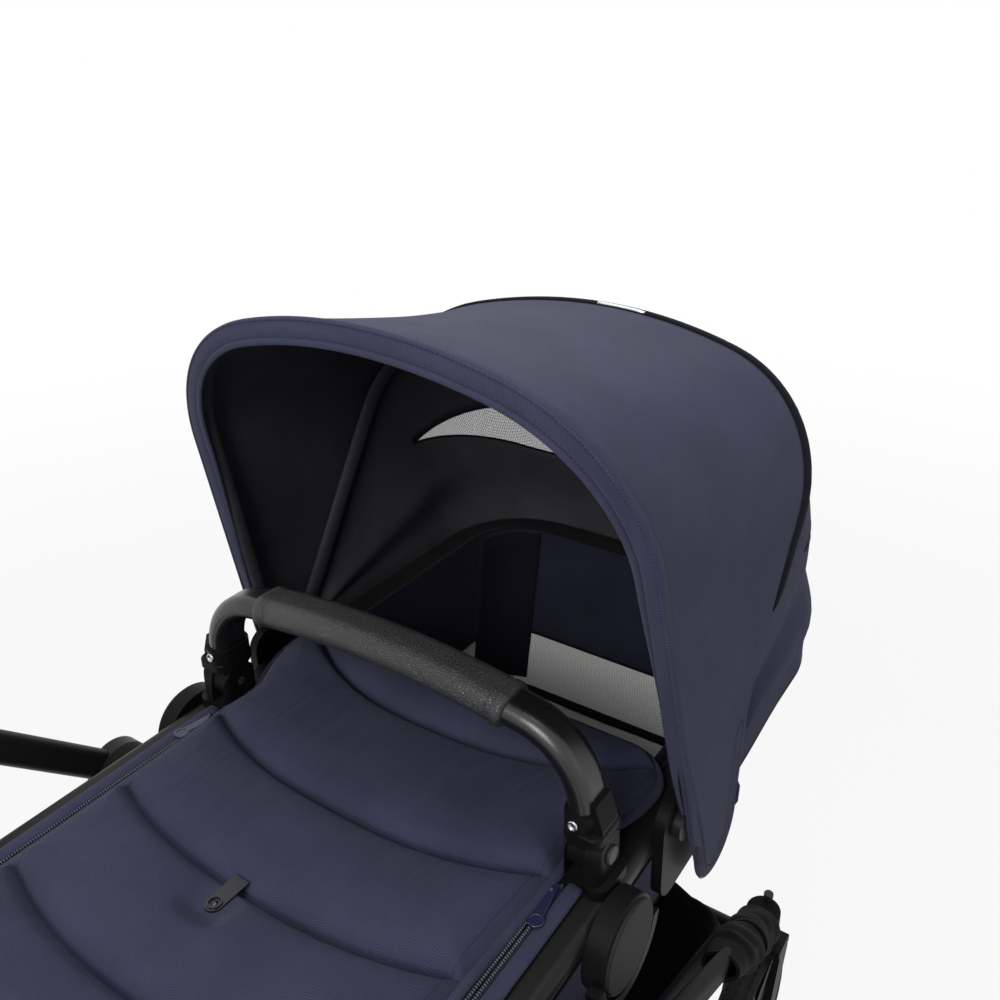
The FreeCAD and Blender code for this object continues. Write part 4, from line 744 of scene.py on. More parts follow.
def hemFrames():
    path, sideCount = hemPath()
    tangent = unit(np.gradient(path, axis=0))
    over = slice(sideCount, len(path) - sideCount)
    rearward = archLine(rearArch, low=alongFor(rearArch, canopy["sideRise"]), steps=hemSteps) - path[over]
    outer = unit(np.cross(rearward, tangent[over]))
    right = np.tile([1.0, 0, 0], (sideCount, 1))
    out = np.concatenate([right, outer, -right])
    for _ in range(6):
        out[1:-1] = unit(out[:-2] + 2 * out[1:-1] + out[2:])
    out = unit(out - tangent * (out * tangent).sum(axis=1, keepdims=True))
    forward = unit(np.cross(out, tangent))
    return path, out, forward


def hemLines():
    path, out, forward = hemFrames()
    rise = path[:, 2]
    onFront = (np.abs(path[:, 1] - frontPlaneY(rise)) < hem["frontDepth"]).astype(float)
    turned = eased(smooth(rise, hem["turnFrom"], hem["turnTo"]) * onFront, 10)
    roll = np.radians(hem["tipRoll"] + (hem["roll"] - hem["tipRoll"]) * turned)[:, None]
    across = forward * np.cos(roll) - out * np.sin(roll)
    face = out * np.cos(roll) + forward * np.sin(roll)
    ridge = path - forward * (hem["band"] - 1) * np.cos(roll)
    lip = eased((hem["lip"] * smooth(rise, hem["lipFrom"], hem["lipTo"]) * onFront)[:, None], 6)
    return ridge, across, face, out, forward, lip


def makeHem():
    ridge, across, face, out, forward, lip = hemLines()
    band, thick = hem["band"], hem["thick"]
    full = lip / hem["lip"]
    corner = unit(out + face)
    behind = ridge - forward * hem["reach"]
    rows = [behind + out * 0.1, ridge - forward * 3 + out * 0.9, ridge + corner * 1.3]
    profile = ((3, 1.5), (band * 0.5, 1.9), (band - 3, 1.4), (band - 0.9, 0.9 - 1.5 * full),
               (band, 0.1 - 1.0 * full), (band + 0.9 * full, -0.5 * full),
               (band + lip * 0.25, 1.1 * full - 0.2), (band + lip * 0.6, 1.5 * full - 0.3),
               (band + lip * 0.95, 0.6 * full - 0.5), (band + lip, -1.2 * full - 0.8),
               (band + lip * 0.9, -thick * 0.85), (band * 0.5, -thick), (2, -thick))
    rows += [ridge + across * reach + face * proud for reach, proud in profile]
    grid = np.stack(rows + [behind - out * 2.0], axis=1)
    piece = gridPiece("canopyHem", grid, looks["hemCloth"], loop=True, caps=True)
    modified(piece, "SUBSURF", levels=1, render_levels=1)
    baked(piece)
    groove = ridge + across * (band + 0.3) + face * (0.35 - 0.75 * full)
    edgeRow = ridge + across * 2.6 + face * 1.75
    return piece, groove, edgeRow


flap = {"low": 138.0, "behind": 7.0, "proud": -1.4, "thick": 8.5, "wide": 11.0, "steps": 110,
        "taperSteps": 5.0, "strip": (-5.0, 56.0), "stripRows": ((-2.1, 0.5), (-0.5, 0.1), (0.5, -1.6))}


def makeFlapBinding(grid):
    edge, normal = grid[:, -1], gridNormals(grid)[:, -1]
    backward = unit(edge - grid[:, -3])
    keep = edge[:, 2] > flap["low"]
    path = evenly((edge + backward * flap["behind"] + normal * flap["proud"])[keep], flap["steps"])
    ups = unit(evenly(normal[keep], flap["steps"]))
    number = np.arange(flap["steps"])
    toEnd = np.clip(np.minimum(number, number[::-1]) / flap["taperSteps"], 0, 1)
    taper = np.sqrt(np.clip(1 - (1 - toEnd) ** 2, 0.02, 1))
    tangent = unit(np.gradient(path, axis=0))
    side = unit(np.cross(tangent, ups))
    section = ringSection(flap["wide"], flap["thick"], 16, 2.8)
    ring = side[:, None] * section[None, :, :1] + ups[:, None] * section[None, :, 1:]
    rows = path[:, None] + ring * taper[:, None, None]
    piece = gridPiece("flapBinding", rows, looks["bindingTape"], loop=True, flip=True, caps=True)
    tidyMesh(piece)
    spots = (path[:, 0] > flap["strip"][0]) & (path[:, 0] < flap["strip"][1])
    line, up = path[spots], ups[spots]
    ahead = side[spots] * -np.sign(side[spots][:, 1:2])
    strip = np.stack([line + up * (flap["thick"] / 2 + rise) + ahead * (flap["wide"] / 2 + reach)
                      for rise, reach in flap["stripRows"]], axis=1)
    light = gridPiece("flapStrip", strip, looks["reflective"])
    modified(light, "SOLIDIFY", thickness=0.0006, offset=0.0)
    return piece, baked(light)


back = {"endHalf": 228.0, "endReach": 491.0, "endCorner": 95.0, "inset": 4.4, "endRise": 11.3, "trim": 52.0,
        "foot": 37.0, "heart": (0, 250, 100), "dent": 4.0, "levels": 41, "steps": (9, 20, 35)}


def backRow(t):
    first = rearArch
    arch = dict(first, lean=first["lean"] + t * (90 - first["lean"]), rise=t * back["endRise"],
                half=first["half"] + t * t * (back["endHalf"] - first["half"]),
                apex=first["apex"] + t ** 1.2 * (back["endReach"] - first["y"] - first["apex"]),
                corner=first["corner"] + t * (back["endCorner"] - first["corner"]))
    lean = math.radians(arch["lean"])
    low = back["foot"] / math.sin(lean)
    if t < 0.999:
        low = min(low, (back["trim"] - arch["rise"]) / math.cos(lean))
    return archLine(arch, back["inset"], low, back["steps"])


window = {"tip": 0.40, "top": 0.12, "low": 0.32, "reach": 312.0, "rows": 9, "topCurve": 2.6, "lowCurve": 3.0,
          "heart": (0, 250, 150)}
skirt = {"out": 20.0, "from": 0.66, "to": 0.93, "rises": (4.0, -4.0, -12.0, -20.0), "drop": 10.0,
         "dropFrom": 330.0, "dropTo": 215.0}


def backPoints(shares):
    shares = np.asarray(shares, float)
    levels = np.linspace(0, 1, back["levels"])
    table = np.array([backRow(t) + [0, 2.0 * (1 - t), 0] for t in levels])
    spot = np.clip(shares, 0, 1) * (len(levels) - 1)
    low = np.minimum(spot.astype(int), len(levels) - 2)
    part = (spot - low)[:, :, None]
    columns = np.arange(shares.shape[1])[None]
    grid = table[low, columns] * (1 - part) + table[low + 1, columns] * part
    toward = unit(np.array(back["heart"]) - grid)
    dent = back["dent"] * np.sin(math.pi * shares) ** 2 * np.cos(grid[:, :, 0] / 230 * math.pi / 2)
    return grid + toward * dent[:, :, None]


def windowEdges():
    row = backRow(0.5)
    run = lengthsAlong(row)
    share = np.abs(run - run[len(run) // 2]) / window["reach"]
    inside = np.clip(share, 0, 1)
    top = window["tip"] + window["top"] * (1 - inside ** window["topCurve"])
    low = window["tip"] + window["low"] * (1 - inside ** window["lowCurve"])
    columns = np.flatnonzero(share < 1)
    return top, low, np.arange(columns[0] - 1, columns[-1] + 2)


def makeCanopyBack():
    top, low, columns = windowEdges()
    last = backPoints(np.ones((1, len(top))))[0]
    ahead = np.gradient(last[:, :2], axis=0)
    out = np.column_stack([unit(np.column_stack([ahead[:, 1], -ahead[:, 0]])), np.zeros(len(last))])
    upper = backPoints(np.linspace(0, 1, 10)[:, None] * top[None])
    shares = low[None] + np.linspace(0, 1, 14)[:, None] * (1 - low[None])
    lower = backPoints(shares)
    lower = lower + out * skirt["out"] * smooth(shares, skirt["from"], skirt["to"])[:, :, None]
    drop = skirt["drop"] * smooth(last[:, 1], skirt["dropFrom"], skirt["dropTo"])
    hanging = []
    for rise in skirt["rises"]:
        row = last + out * skirt["out"]
        row[:, 2] = rise - drop * smooth(rise, 6.0, -20.0)
        hanging.append(row)
    halves = [gridPiece("half", rows, looks["navyCloth"], flip=True)
              for rows in (upper, np.concatenate([lower, hanging]))]
    piece = joinPieces("canopyBack", halves)
    piece.data.materials.append(looks["liningCloth"])
    mergeClose(piece, 2e-5)
    modified(piece, "SOLIDIFY", thickness=0.0024, offset=-1.0, material_offset=1)
    baked(piece)
    share = np.linspace(0, 1, window["rows"])[:, None]
    net = backPoints(top[None] * (1 - share) + low[None] * share)[:, columns]
    netPiece = gridPiece("canopyWindow", net, looks["windowNet"], flip=True)
    mergeClose(netPiece, 2e-5)
    toward = unit(np.array(window["heart"]) - net)
    rims = [net[k] + toward[k] * 1.6 for k in (0, -1)]
    binding = joinPieces("windowBinding", [
        tubePiece("rim", evenly(rim, 110), ringSection(4.5, 3.0, 8), (0, 0.6, 0.8), looks["bindingTape"])
        for rim in rims])
    seam = hanging[-1] + out * 0.4 + [0, 0, 4.0]
    stitches = stitchPiece("backStitches", [seam])
    return piece, netPiece, binding, stitches


def bowChannel(name, arch, inset, behind, width):
    height = 8.0
    path = archLine(arch, inset + height / 2, low=40, steps=(12, 16, 30))
    lean = math.radians(arch["lean"])
    across = np.array([0, math.cos(lean), -math.sin(lean)])
    section = ringSection(height, width, 14, 2.4)
    return tubePiece(name, path + across * behind, section, across, looks["liningCloth"])


def makeCanopy():
    cloth, grid = makeCanopyCloth()
    hemPiece, groove, edgeRow = makeHem()
    hemStitches = stitchPiece("canopyHemStitches", [groove, edgeRow])
    soft = [(cloth, "navy_fabric"), (hemPiece, "navy_fabric"), (hemStitches, "black_fabric")]
    for piece, slot in soft:
        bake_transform(piece)
    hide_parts("canopy_top")
    binding, strip = makeFlapBinding(grid)
    finished(binding, "chassis", ["canopy_binding"])
    finished(strip, "chassis")
    backPiece, net, netBinding, stitches = makeCanopyBack()
    finished(backPiece, "chassis", ["canopy_back"])
    finished(net, "chassis")
    finished(netBinding, "chassis")
    finished(stitches, "chassis")
    finished(bowChannel("frontBowChannel", frontArch, 10.5, 9.5, 15.0), "canopy_front")
    finished(bowChannel("rearBowChannel", rearArch, 8.0, 0.0, 20.0), "chassis")
    print("canopy made")


makeCanopy()


tub = {"top": 12.0, "straight": -12.0, "bottom": -215.0, "wall": 10.0, "floor": 16.0, "half": 198.7,
       "foot": -391.7, "head": 461.7, "taper": 21.0, "footRake": 46.0, "headRake": 66.0, "corner": 79.0,
       "lowCorner": 70.0}


def tubLevel(rise, inset=0.0):
    t = max(0.0, (tub["straight"] - rise) / (tub["straight"] - tub["bottom"]))
    half = tub["half"] - tub["taper"] * t - inset
    foot = tub["foot"] + tub["footRake"] * t + inset
    head = tub["head"] - tub["headRake"] * t - inset
    return half, foot, head, tub["corner"] + t * (tub["lowCorner"] - tub["corner"]) - inset


def roundLoop(half, foot, head, corner, steps=(14, 14, 20)):
    endSteps, cornerSteps, sideSteps = steps
    x, low, high = half - corner, foot + corner, head - corner
    sides = (((half, low), (half, high), sideSteps), ((x, head), (-x, head), endSteps),
             ((-half, high), (-half, low), sideSteps), ((-x, foot), (x, foot), endSteps))
    middles = ((x, high), (-x, high), (-x, low), (x, low))
    points = []
    for k, (start, end, count) in enumerate(sides):
        points += list(np.linspace(start, end, count, endpoint=False))
        quarter = np.linspace(k * math.pi / 2, (k + 1) * math.pi / 2, cornerSteps, endpoint=False)
        points += [middles[k] + corner * np.array((math.cos(a), math.sin(a))) for a in quarter]
    return np.array(points)


def levelLoop(rise, inset):
    loop = roundLoop(*tubLevel(rise, inset))
    return np.column_stack([loop, np.full(len(loop), rise)])


def bandPiece(name, high, low, inset, material, rows=6, bulge=0.0, inward=False):
    loops = []
    for rise in np.linspace(high, low, rows):
        share = (high - rise) / (high - low)
        loops.append(levelLoop(rise, inset - bulge * math.sin(math.pi * share)))
    return gridPiece(name, loops, looks[material], loop=True, flip=inward)


body = {"navyTop": 12.0, "netTop": -34.0, "netLow": -112.0, "low": -211.0, "lineTop": 14.0,
        "linerNet": -119.0, "linerLow": -192.0, "linerEnd": -198.0}


def pipingRing(name, rise, inset, width, material="bindingTape"):
    loop = levelLoop(rise, inset)
    return tubePiece(name, loop, ringSection(width, width * 1.3, 10), (0, 0, 1), looks[material], loop=True)


def makeBodyOutside():
    upper = bandPiece("u", body["navyTop"], body["netTop"], 0.3, "navyCloth", bulge=0.6)
    net = bandPiece("n", body["netTop"], body["netLow"], 0.8, "darkNet", bulge=2.5)
    lower = bandPiece("l", body["netLow"], body["low"], 0.3, "navyCloth", bulge=2.0)
    last = levelLoop(body["low"], 0.3)
    inner = levelLoop(tub["bottom"], 8.0)
    floor = np.stack([last, levelLoop(-214.0, 2.0), inner])
    bottom = gridPiece("b", floor, looks["blackCloth"], loop=True)
    face = list(range(len(inner)))
    plate = newPiece("p", inner, [face[::-1]], looks["blackCloth"], inner[:, :2])
    rings = [pipingRing("r1", body["netTop"], 0.2, 3.4), pipingRing("r2", body["netLow"], 0.2, 3.4),
             pipingRing("r3", body["low"] - 0.5, 1.0, 4.2)]
    return joinPieces("bassinetBody", [upper, net, lower, bottom, plate] + rings)


def makeLiner():
    inset, netTop, netLow = tub["wall"], body["linerNet"], body["linerLow"]
    top = bandPiece("t", body["lineTop"], netTop, inset, "linerCloth", bulge=-1.5, inward=True, rows=8)
    net = bandPiece("n", netTop, netLow, inset - 0.5, "paleNet", bulge=-1.5, inward=True)
    low = bandPiece("l", netLow, body["linerEnd"], inset, "linerCloth", inward=True, rows=3)
    lip = [levelLoop(rise, reach) for rise, reach in
           ((12.0, 0.3), (14.0, 1.5), (15.0, 4.5), (15.0, 8.0), (body["lineTop"], inset))]
    edge = gridPiece("e", lip, looks["bindingTape"], loop=True)
    # The wide lower ring makes a dark band at the foot of the net, next to the mattress.
    rings = [pipingRing("r1", netTop, inset + 0.6, 3.4), pipingRing("r2", netLow, inset + 2.0, 10.5)]
    return joinPieces("bassinetLiner", [top, net, low, edge] + rings)


def cornerBand(name, sideX):
    rows = []
    turn = np.linspace(0.15, math.pi / 2 - 0.15, 11)
    for rise in np.linspace(10.0, -178.0, 12):
        half, _, head, corner = tubLevel(rise, tub["wall"] + 1.6)
        x, y = half - corner + corner * np.cos(turn), head - corner + corner * np.sin(turn)
        rows.append(np.column_stack([sideX * x, y, np.full(len(turn), rise)]))
    piece = gridPiece(name, rows, looks["bindingTape"], flip=sideX > 0)
    modified(piece, "SOLIDIFY", thickness=0.0016, offset=0.0)
    return baked(piece)


def makeBody():
    finished(makeBodyOutside(), "chassis", ["bassinet_tub"])
    finished(makeLiner(), "chassis")
    for side, sign in (("Right", 1), ("Left", -1)):
        finished(cornerBand("linerCorner" + side, sign), "chassis")
    paths = [levelLoop(body["netTop"] + 4, -0.3), levelLoop(body["netLow"] - 4, -0.4)]
    stitches = stitchPiece("bodyStitches", paths, loop=True, pitch=3.6, size=(0.4, 0.4, 1.2))
    finished(stitches, "chassis")
    print("bassinet body made")


makeBody()


# Padded pieces: the mattress swells in a cloth simulation, the apron is shaped here.
swell = {"voxel": 0.006, "pressure": 3.0, "frames": 20}


def inflated(piece, facts):
    modified(piece, "REMESH", mode="VOXEL", voxel_size=facts["voxel"])
    baked(piece)
    rest = np.array([v.co for v in piece.data.vertices])
    cloth = modified(piece, "CLOTH")
    cloth.settings.use_pressure = True
    cloth.settings.uniform_pressure_force = facts["pressure"]
    cloth.settings.quality = 5
    cloth.settings.effector_weights.gravity = 0.0
    cloth.point_cache.frame_start, cloth.point_cache.frame_end = 1, facts["frames"]
    for number in range(1, facts["frames"] + 1):
        bpy.context.scene.frame_set(number)
    baked(piece)
    bpy.context.scene.frame_set(1)
    now = np.array([v.co for v in piece.data.vertices])
    move = now - rest
    far = np.linalg.norm(move, axis=1, keepdims=True)
    capped = rest + move * np.minimum(1, facts["cap"] / np.maximum(far, 1e-9))
    piece.data.vertices.foreach_set("co", capped.ravel())
    return piece


mattress = {"low": -198.2, "high": -174.0, "gap": 13.0, "seam": 18.0, "cap": 0.004,
            "crown": ((15.0, 6.0), (11.0, 15.0), (6.5, 28.0), (3.0, 44.0), (0.8, 66.0), (0.0, 100.0))}


def makeMattress():
    low, high = mattress["low"], mattress["high"]
    seam = high - mattress["seam"]
    levels = [(low, 14.0), (low + 1.5, 6.0), (low + 4, 1.5), (seam, 1.5)]
    levels += [(high - fall, inset) for fall, inset in mattress["crown"]]
    rows = [levelLoop(rise, mattress["gap"] + inset) for rise, inset in levels]
    piece = gridPiece("mattressPad", rows, looks["paleKnit"], loop=True, caps=True)
    tidyMesh(piece)
    inflated(piece, dict(swell, cap=mattress["cap"]))
    if len(piece.data.materials) == 0:
        piece.data.materials.append(looks["paleKnit"])
    finished(smoothed(piece), "chassis", ["mattress"])
    piping = pipingRing("mattressPiping", seam, mattress["gap"] + 0.6, 3.6, "paleKnit")
    finished(piping, "chassis")


apron = {"low": 14.8, "edge": 18.5, "crown": 28.0, "roll": 15.0, "puff": 12.5, "columns": 141, "rows": 261,
         "endRows": 8, "endDepth": 10.0, "channelDepth": 10.0, "channelWidth": 5.2, "channelHalf": 205.0,
         "foot": -386.0, "head": 138.0, "footCorner": 58.0, "headCorner": 40.0, "seam": 9.0}
apronHalf = {-386.0: 183.0, -300.0: 183.0, -142.0: 183.0, -97.0: 184.0, -55.0: 186.0, -22.0: 187.0,
             0.0: 184.5, 17.0: 186.5, 33.0: 194.0, 51.0: 203.0, 73.0: 210.0, 90.0: 212.5, 105.0: 212.0,
             146.0: 206.0}
headLift = {"rise": 0.5, "from": 95.0, "to": 140.0, "half": 215.0}
channels = [{"ends": ends, "middle": middle} for ends, middle in
            ((122.0, 55.0), (-20.0, -68.0), (-129.0, -168.0), (-232.0, -270.0), (-330.0, -362.0))]


tabLow, tabHigh = [drawn(corner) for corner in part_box("apron_tab")]
tabSeat = {"x": (tabLow.x + tabHigh.x) / 2, "y": (tabLow.y + tabHigh.y) / 2, "rise": tabLow.z - 0.4,
           "fade": 20.0, "half": ((tabHigh.x - tabLow.x) / 2 + 1.5, (tabHigh.y - tabLow.y) / 2 + 1.5)}


def apronWidth(y):
    half = np.interp(y, list(apronHalf), list(apronHalf.values()))
    corner, foot = apron["footCorner"], apron["foot"]
    deep = np.clip((foot + corner - y) / corner, 0, 1)
    half = half - corner * (1 - np.sqrt(1 - deep ** 2))
    corner, head = apron["headCorner"], apron["head"]
    deep = np.clip((y - head + corner) / corner, 0, 1)
    return half - corner * (1 - np.sqrt(1 - deep ** 2))


def channelY(channel, x):
    share = np.clip(np.abs(x) / apron["channelHalf"], 0, 1)
    return channel["middle"] + (channel["ends"] - channel["middle"]) * share ** 2.5


def liftAt(x, y):
    share = 1 - (np.abs(x) / headLift["half"]) ** 2
    return headLift["rise"] * smooth(y, headLift["from"], headLift["to"]) * share


def apronTop(x, y, toEdge):
    roll = apron["roll"]
    rise = np.sqrt(np.clip(1 - (1 - np.clip(toEdge / roll, 0, 1)) ** 2, 0, 1))
    nearest = np.full(np.shape(x), 1e9)
    below = np.full(np.shape(x), -1e9)
    above = np.full(np.shape(x), 1e9)
    for channel in channels:
        line = channelY(channel, x)
        nearest = np.minimum(nearest, np.abs(y - line))
        below = np.where(line <= y, np.maximum(below, line), below)
        above = np.where(line > y, np.minimum(above, line), above)
    soft = np.minimum(nearest, toEdge * 1.1)
    puff = apron["puff"] * (1 - np.exp(-soft / 17.0))
    pinch = apron["channelDepth"] * np.exp(-(nearest / apron["channelWidth"]) ** 1.3)
    pinch = pinch * smooth(toEdge, 0, 16)
    pucker = 0.3 * np.exp(-nearest / 9.0) * np.sin(x / 3.4 + 2.2 * np.sin(x / 27.0)) * smooth(toEdge, 4, 30)
    waves = 0.8 * np.sin(x / 41.0 + y / 67.0) * np.sin(y / 37.0 - x / 90.0) * smooth(toEdge, 5, 40)
    edgeRise = apron["edge"] + (apron["crown"] - apron["edge"]) * rise
    top = edgeRise + (puff - pinch) * rise + (pucker + waves) * rise
    aside = np.hypot(np.maximum(np.abs(x - tabSeat["x"]) - tabSeat["half"][0], 0),
                     np.maximum(np.abs(y - tabSeat["y"]) - tabSeat["half"][1], 0))
    return top - np.maximum(top - tabSeat["rise"], 0) * smooth(aside, tabSeat["fade"], 0.0)


def apronGrid():
    rows, columns, deep = apron["rows"], apron["columns"], apron["endDepth"]
    foot, head = apron["foot"] + deep, apron["head"] - deep
    turn = np.linspace(0, math.pi / 2, apron["endRows"])
    y = np.concatenate([apron["foot"] + deep * (1 - np.cos(turn))[:-1],
                        np.linspace(foot, head, rows - 2 * len(turn) + 2), head + deep * np.sin(turn)[1:]])
    width = apronWidth(y)
    u = np.sin(np.linspace(-math.pi / 2, math.pi / 2, columns)) * 0.5 + np.linspace(-1, 1, columns) * 0.5
    x = width[:, None] * u[None]
    yy = np.repeat(y[:, None], columns, axis=1)
    side = np.minimum(width[:, None] - np.abs(x), np.minimum(yy - apron["foot"], apron["head"] - yy))
    z = apronTop(x, yy, np.maximum(side, 0)) + liftAt(x, yy)
    return np.stack([x, yy, z], axis=2)


def makeApron():
    top = apronGrid()
    rows, columns = top.shape[:2]
    under = top.copy()
    under[:, :, 2] = apron["low"]
    under[:, :, :2] *= np.array([0.985, 0.995])
    points = np.concatenate([top.reshape(-1, 3), under.reshape(-1, 3)])
    count = rows * columns
    faces = gridFaces(rows, columns)
    faces += [tuple(count + k for k in face[::-1]) for face in faces]
    rim = [j for j in range(columns)] + [i * columns + columns - 1 for i in range(1, rows)]
    rim += [(rows - 1) * columns + j for j in range(columns - 2, -1, -1)]
    rim += [i * columns for i in range(rows - 2, 0, -1)]
    for k, first in enumerate(rim):
        second = rim[(k + 1) % len(rim)]
        faces.append((second, first, count + first, count + second))
    uv = np.concatenate([gridUv(top).reshape(-1, 2), gridUv(under).reshape(-1, 2)])
    piece = newPiece("apronPad", points, faces, looks["navyCloth"], uv)
    tidyMesh(piece)
    finished(piece, "chassis", ["apron"])
    outline = np.concatenate([top[:, -1], top[::-1, 0]])
    loop = evenly(np.concatenate([outline, outline[:1]]), 420)[:-1]
    loop[:, 2] = apron["edge"] + 0.5
    section = ringSection(10.0, 9.0, 14)
    piping = tubePiece("apronPiping", loop, section, (0, 0, 1), looks["hemCloth"], loop=True)
    finished(piping, "chassis")
    lines = []
    for channel in channels:
        x = np.linspace(-192, 192, 220)
        y = channelY(channel, x)
        width = apronWidth(y)
        keep = np.abs(x) < width - 10
        x, y, width = x[keep], y[keep], width[keep]
        edge = np.minimum(width - np.abs(x), np.minimum(y - apron["foot"], apron["head"] - y))
        lines.append(np.column_stack([x, y, apronTop(x, y, edge) + liftAt(x, y) - 0.1]))
    ahead = unit(np.roll(loop, -1, axis=0) - np.roll(loop, 1, axis=0))
    x, y = (loop[:, :2] + np.column_stack([-ahead[:, 1], ahead[:, 0]]) * apron["seam"]).T
    z = apronTop(x, y, np.full(len(loop), apron["seam"])) + 0.1 + liftAt(x, y)
    lines.append(np.column_stack([x, y, z]))
    stitches = stitchPiece("apronStitches", lines)
    finished(stitches, "chassis")
    print("apron made")


makeMattress()
makeApron()


zipper = {"x": 192.3, "start": -28.0, "end": -326.0, "rise": 17.2, "tape": 13.0, "pitch": 2.3,
          "tooth": (1.5, 1.9, 0.42), "gap": 2.2, "sewn": 4.6, "sewPitch": 2.6, "sewSize": (0.3, 0.3, 0.95)}
welt = {"x": 198.2, "rise": 15.2, "end": -332.0, "start": -22.0, "rows": 50,
        "shape": ((0, 0), (1.0, 1.0), (5.5, 1.4), (10, 0.9), (12, -0.5))}


def alongZip(x, y, rise):
    return [np.column_stack([np.full(len(y), x), y, np.full(len(y), rise)])]


def makeZips():
    for side, sign in (("Right", 1), ("Left", -1)):
        y = np.linspace(zipper["end"], zipper["start"], 60)
        x = sign * zipper["x"]
        pieces = []
        for shift in (-1, 1):
            inner, outer = x + shift * 1.3, x + shift * (zipper["tape"] / 2)
            shape = ((inner, 16.0), (inner, 16.5), ((inner + outer) / 2, 16.55), (outer, 16.2), (outer, 14.3),
                     (inner, 14.3))
            rows = [[(across, spot, rise) for across, rise in shape] for spot in y]
            tape = gridPiece("tape", rows, looks["zipTape"], loop=True, caps=True)
            tidyMesh(tape)
            pieces.append(tape)
            line = alongZip(x + shift * zipper["gap"], y, zipper["rise"])
            pieces.append(rowPiece("teeth", beadRow, line, looks["teeth"], zipper["pitch"], zipper["tooth"]))
        for shift in (-1, 1):
            line = alongZip(x + shift * zipper["sewn"], y, 16.5)
            pieces.append(stitchPiece("sew", line, pitch=zipper["sewPitch"], size=zipper["sewSize"]))
        piece = joinPieces("apronZip" + side, pieces)
        finished(smoothed(piece), "chassis", ["apron_zips"])
        strip = [[(sign * (welt["x"] + w), s, welt["rise"] + h) for w, h in welt["shape"]]
                 for s in np.linspace(welt["end"], welt["start"], welt["rows"])]
        flat = gridPiece("zipWelt" + side, strip, looks["navyCloth"], flip=sign > 0)
        modified(flat, "SOLIDIFY", thickness=0.0012, offset=-1.0)
        finished(baked(flat), "chassis")
    print("zips made")


makeZips()


# Leather sleeve of the carry handle, and its rivets.
grip = {"half": 134.0, "rise": 154.0, "crown": 900.0, "width": 42.0, "height": 28.0, "seam": 10.0,
        "sideSeam": -8.5, "stitchRows": (-6.7, -10.3)}


def gripPath(half, count):
    turn = np.linspace(half / grip["crown"], -half / grip["crown"], count)
    up = np.column_stack([np.sin(turn), np.zeros(count), np.cos(turn)])
    return np.array([0, 0, grip["rise"] - grip["crown"]]) + grip["crown"] * up, up


def flatOval(width, height, count):
    radius = height / 2
    flat = width / 2 - radius
    half = count // 2
    turn = np.linspace(-math.pi / 2, math.pi / 2, half)
    right = np.stack([flat + radius * np.cos(turn), radius * np.sin(turn)], axis=1)
    return np.concatenate([right, -right])


def makeGrip():
    count = 150
    path, up = gripPath(grip["half"], count)
    run = np.linspace(-grip["half"], grip["half"], count)
    toEnd = grip["half"] - np.abs(run)
    bulge = 1.0 + 0.012 * np.cos(run / grip["half"] * math.pi / 2) ** 0.7
    seam = np.exp(-((toEnd - grip["seam"]) / 1.3) ** 2)
    band = smooth(toEnd, grip["seam"] + 1.5, grip["seam"] - 1.0) * 1.1
    roll = 2.6 * (1 - np.sqrt(np.clip(1 - (1 - np.clip(toEnd / 3.0, 0, 1)) ** 2, 0, 1)))
    section = flatOval(grip["width"], grip["height"], 56)
    radial = unit(section)
    rows = []
    for k in range(count):
        scaled = section * bulge[k] + radial * (band[k] - seam[k] - roll[k])
        seamLine = np.exp(-((section[:, 1] - grip["sideSeam"]) / 1.2) ** 2) * (section[:, 0] < 0)
        scaled = scaled - radial * (0.8 * seamLine)[:, None] * (toEnd[k] > grip["seam"])
        crease = 0.18 * np.sin(run[k] / 7.0 + section[:, 0] / 5.0) * np.cos(section[:, 1] / 6.0)
        scaled = scaled + radial * crease[:, None]
        rows.append(path[k] + np.array([0, 1, 0]) * scaled[:, :1] + up[k] * scaled[:, 1:])
    ends = [path[k] + (rows[k] - path[k]) * 0.82 for k in (0, -1)]
    grid = np.array([ends[0]] + rows + [ends[1]])
    piece = gridPiece("gripSleeve", grid, looks["gripLeather"], loop=True, flip=True)
    tidyMesh(piece)
    modified(piece, "SUBSURF", levels=1, render_levels=1)
    baked(piece)
    finished(piece, "carry_handle", ["carry_grip"])
    lines = []
    for height in grip["stitchRows"]:
        target = np.argmin(np.abs(section[:, 1] - height) + 100 * (section[:, 0] > 0))
        row = [rows[k][target] for k in range(8, count - 8)]
        lines.append(row + unit(row - path[8:count - 8]) * 0.15)
    first = int(count * 0.5 * grip["seam"] * 1.45 / grip["half"])
    for k in (first, count - 1 - first):
        ring = np.concatenate([rows[k], rows[k][:1]])
        lines.append(ring + unit(ring - path[k]) * 0.1)
    finished(stitchPiece("gripStitches", lines, pitch=3.6, size=(0.42, 0.42, 1.35)), "carry_handle")
    print("grip made")


def rivet(name, centre, axis, radius, material, height, dish):
    profile = [(0, 0.0), (0, radius), (height * 0.5, radius), (height * 0.85, radius * 0.93),
               (height, radius * 0.8), (height * 0.9, radius * 0.62), (height - dish, radius * 0.5),
               (height - dish, 0.0)]
    return lathePiece(name, profile, centre, axis, looks[material], 28)


def makeFasteners():
    for side, sign in (("Right", 1), ("Left", -1)):
        piece = rivet("footRivet" + side, (sign * 200, -21.0, 75.0), (0, -1, 0.1), 4.4, "steel", 2.0, 1.1)
        finished(piece, "carry_handle")
    print("fasteners made")


makeGrip()
makeFasteners()


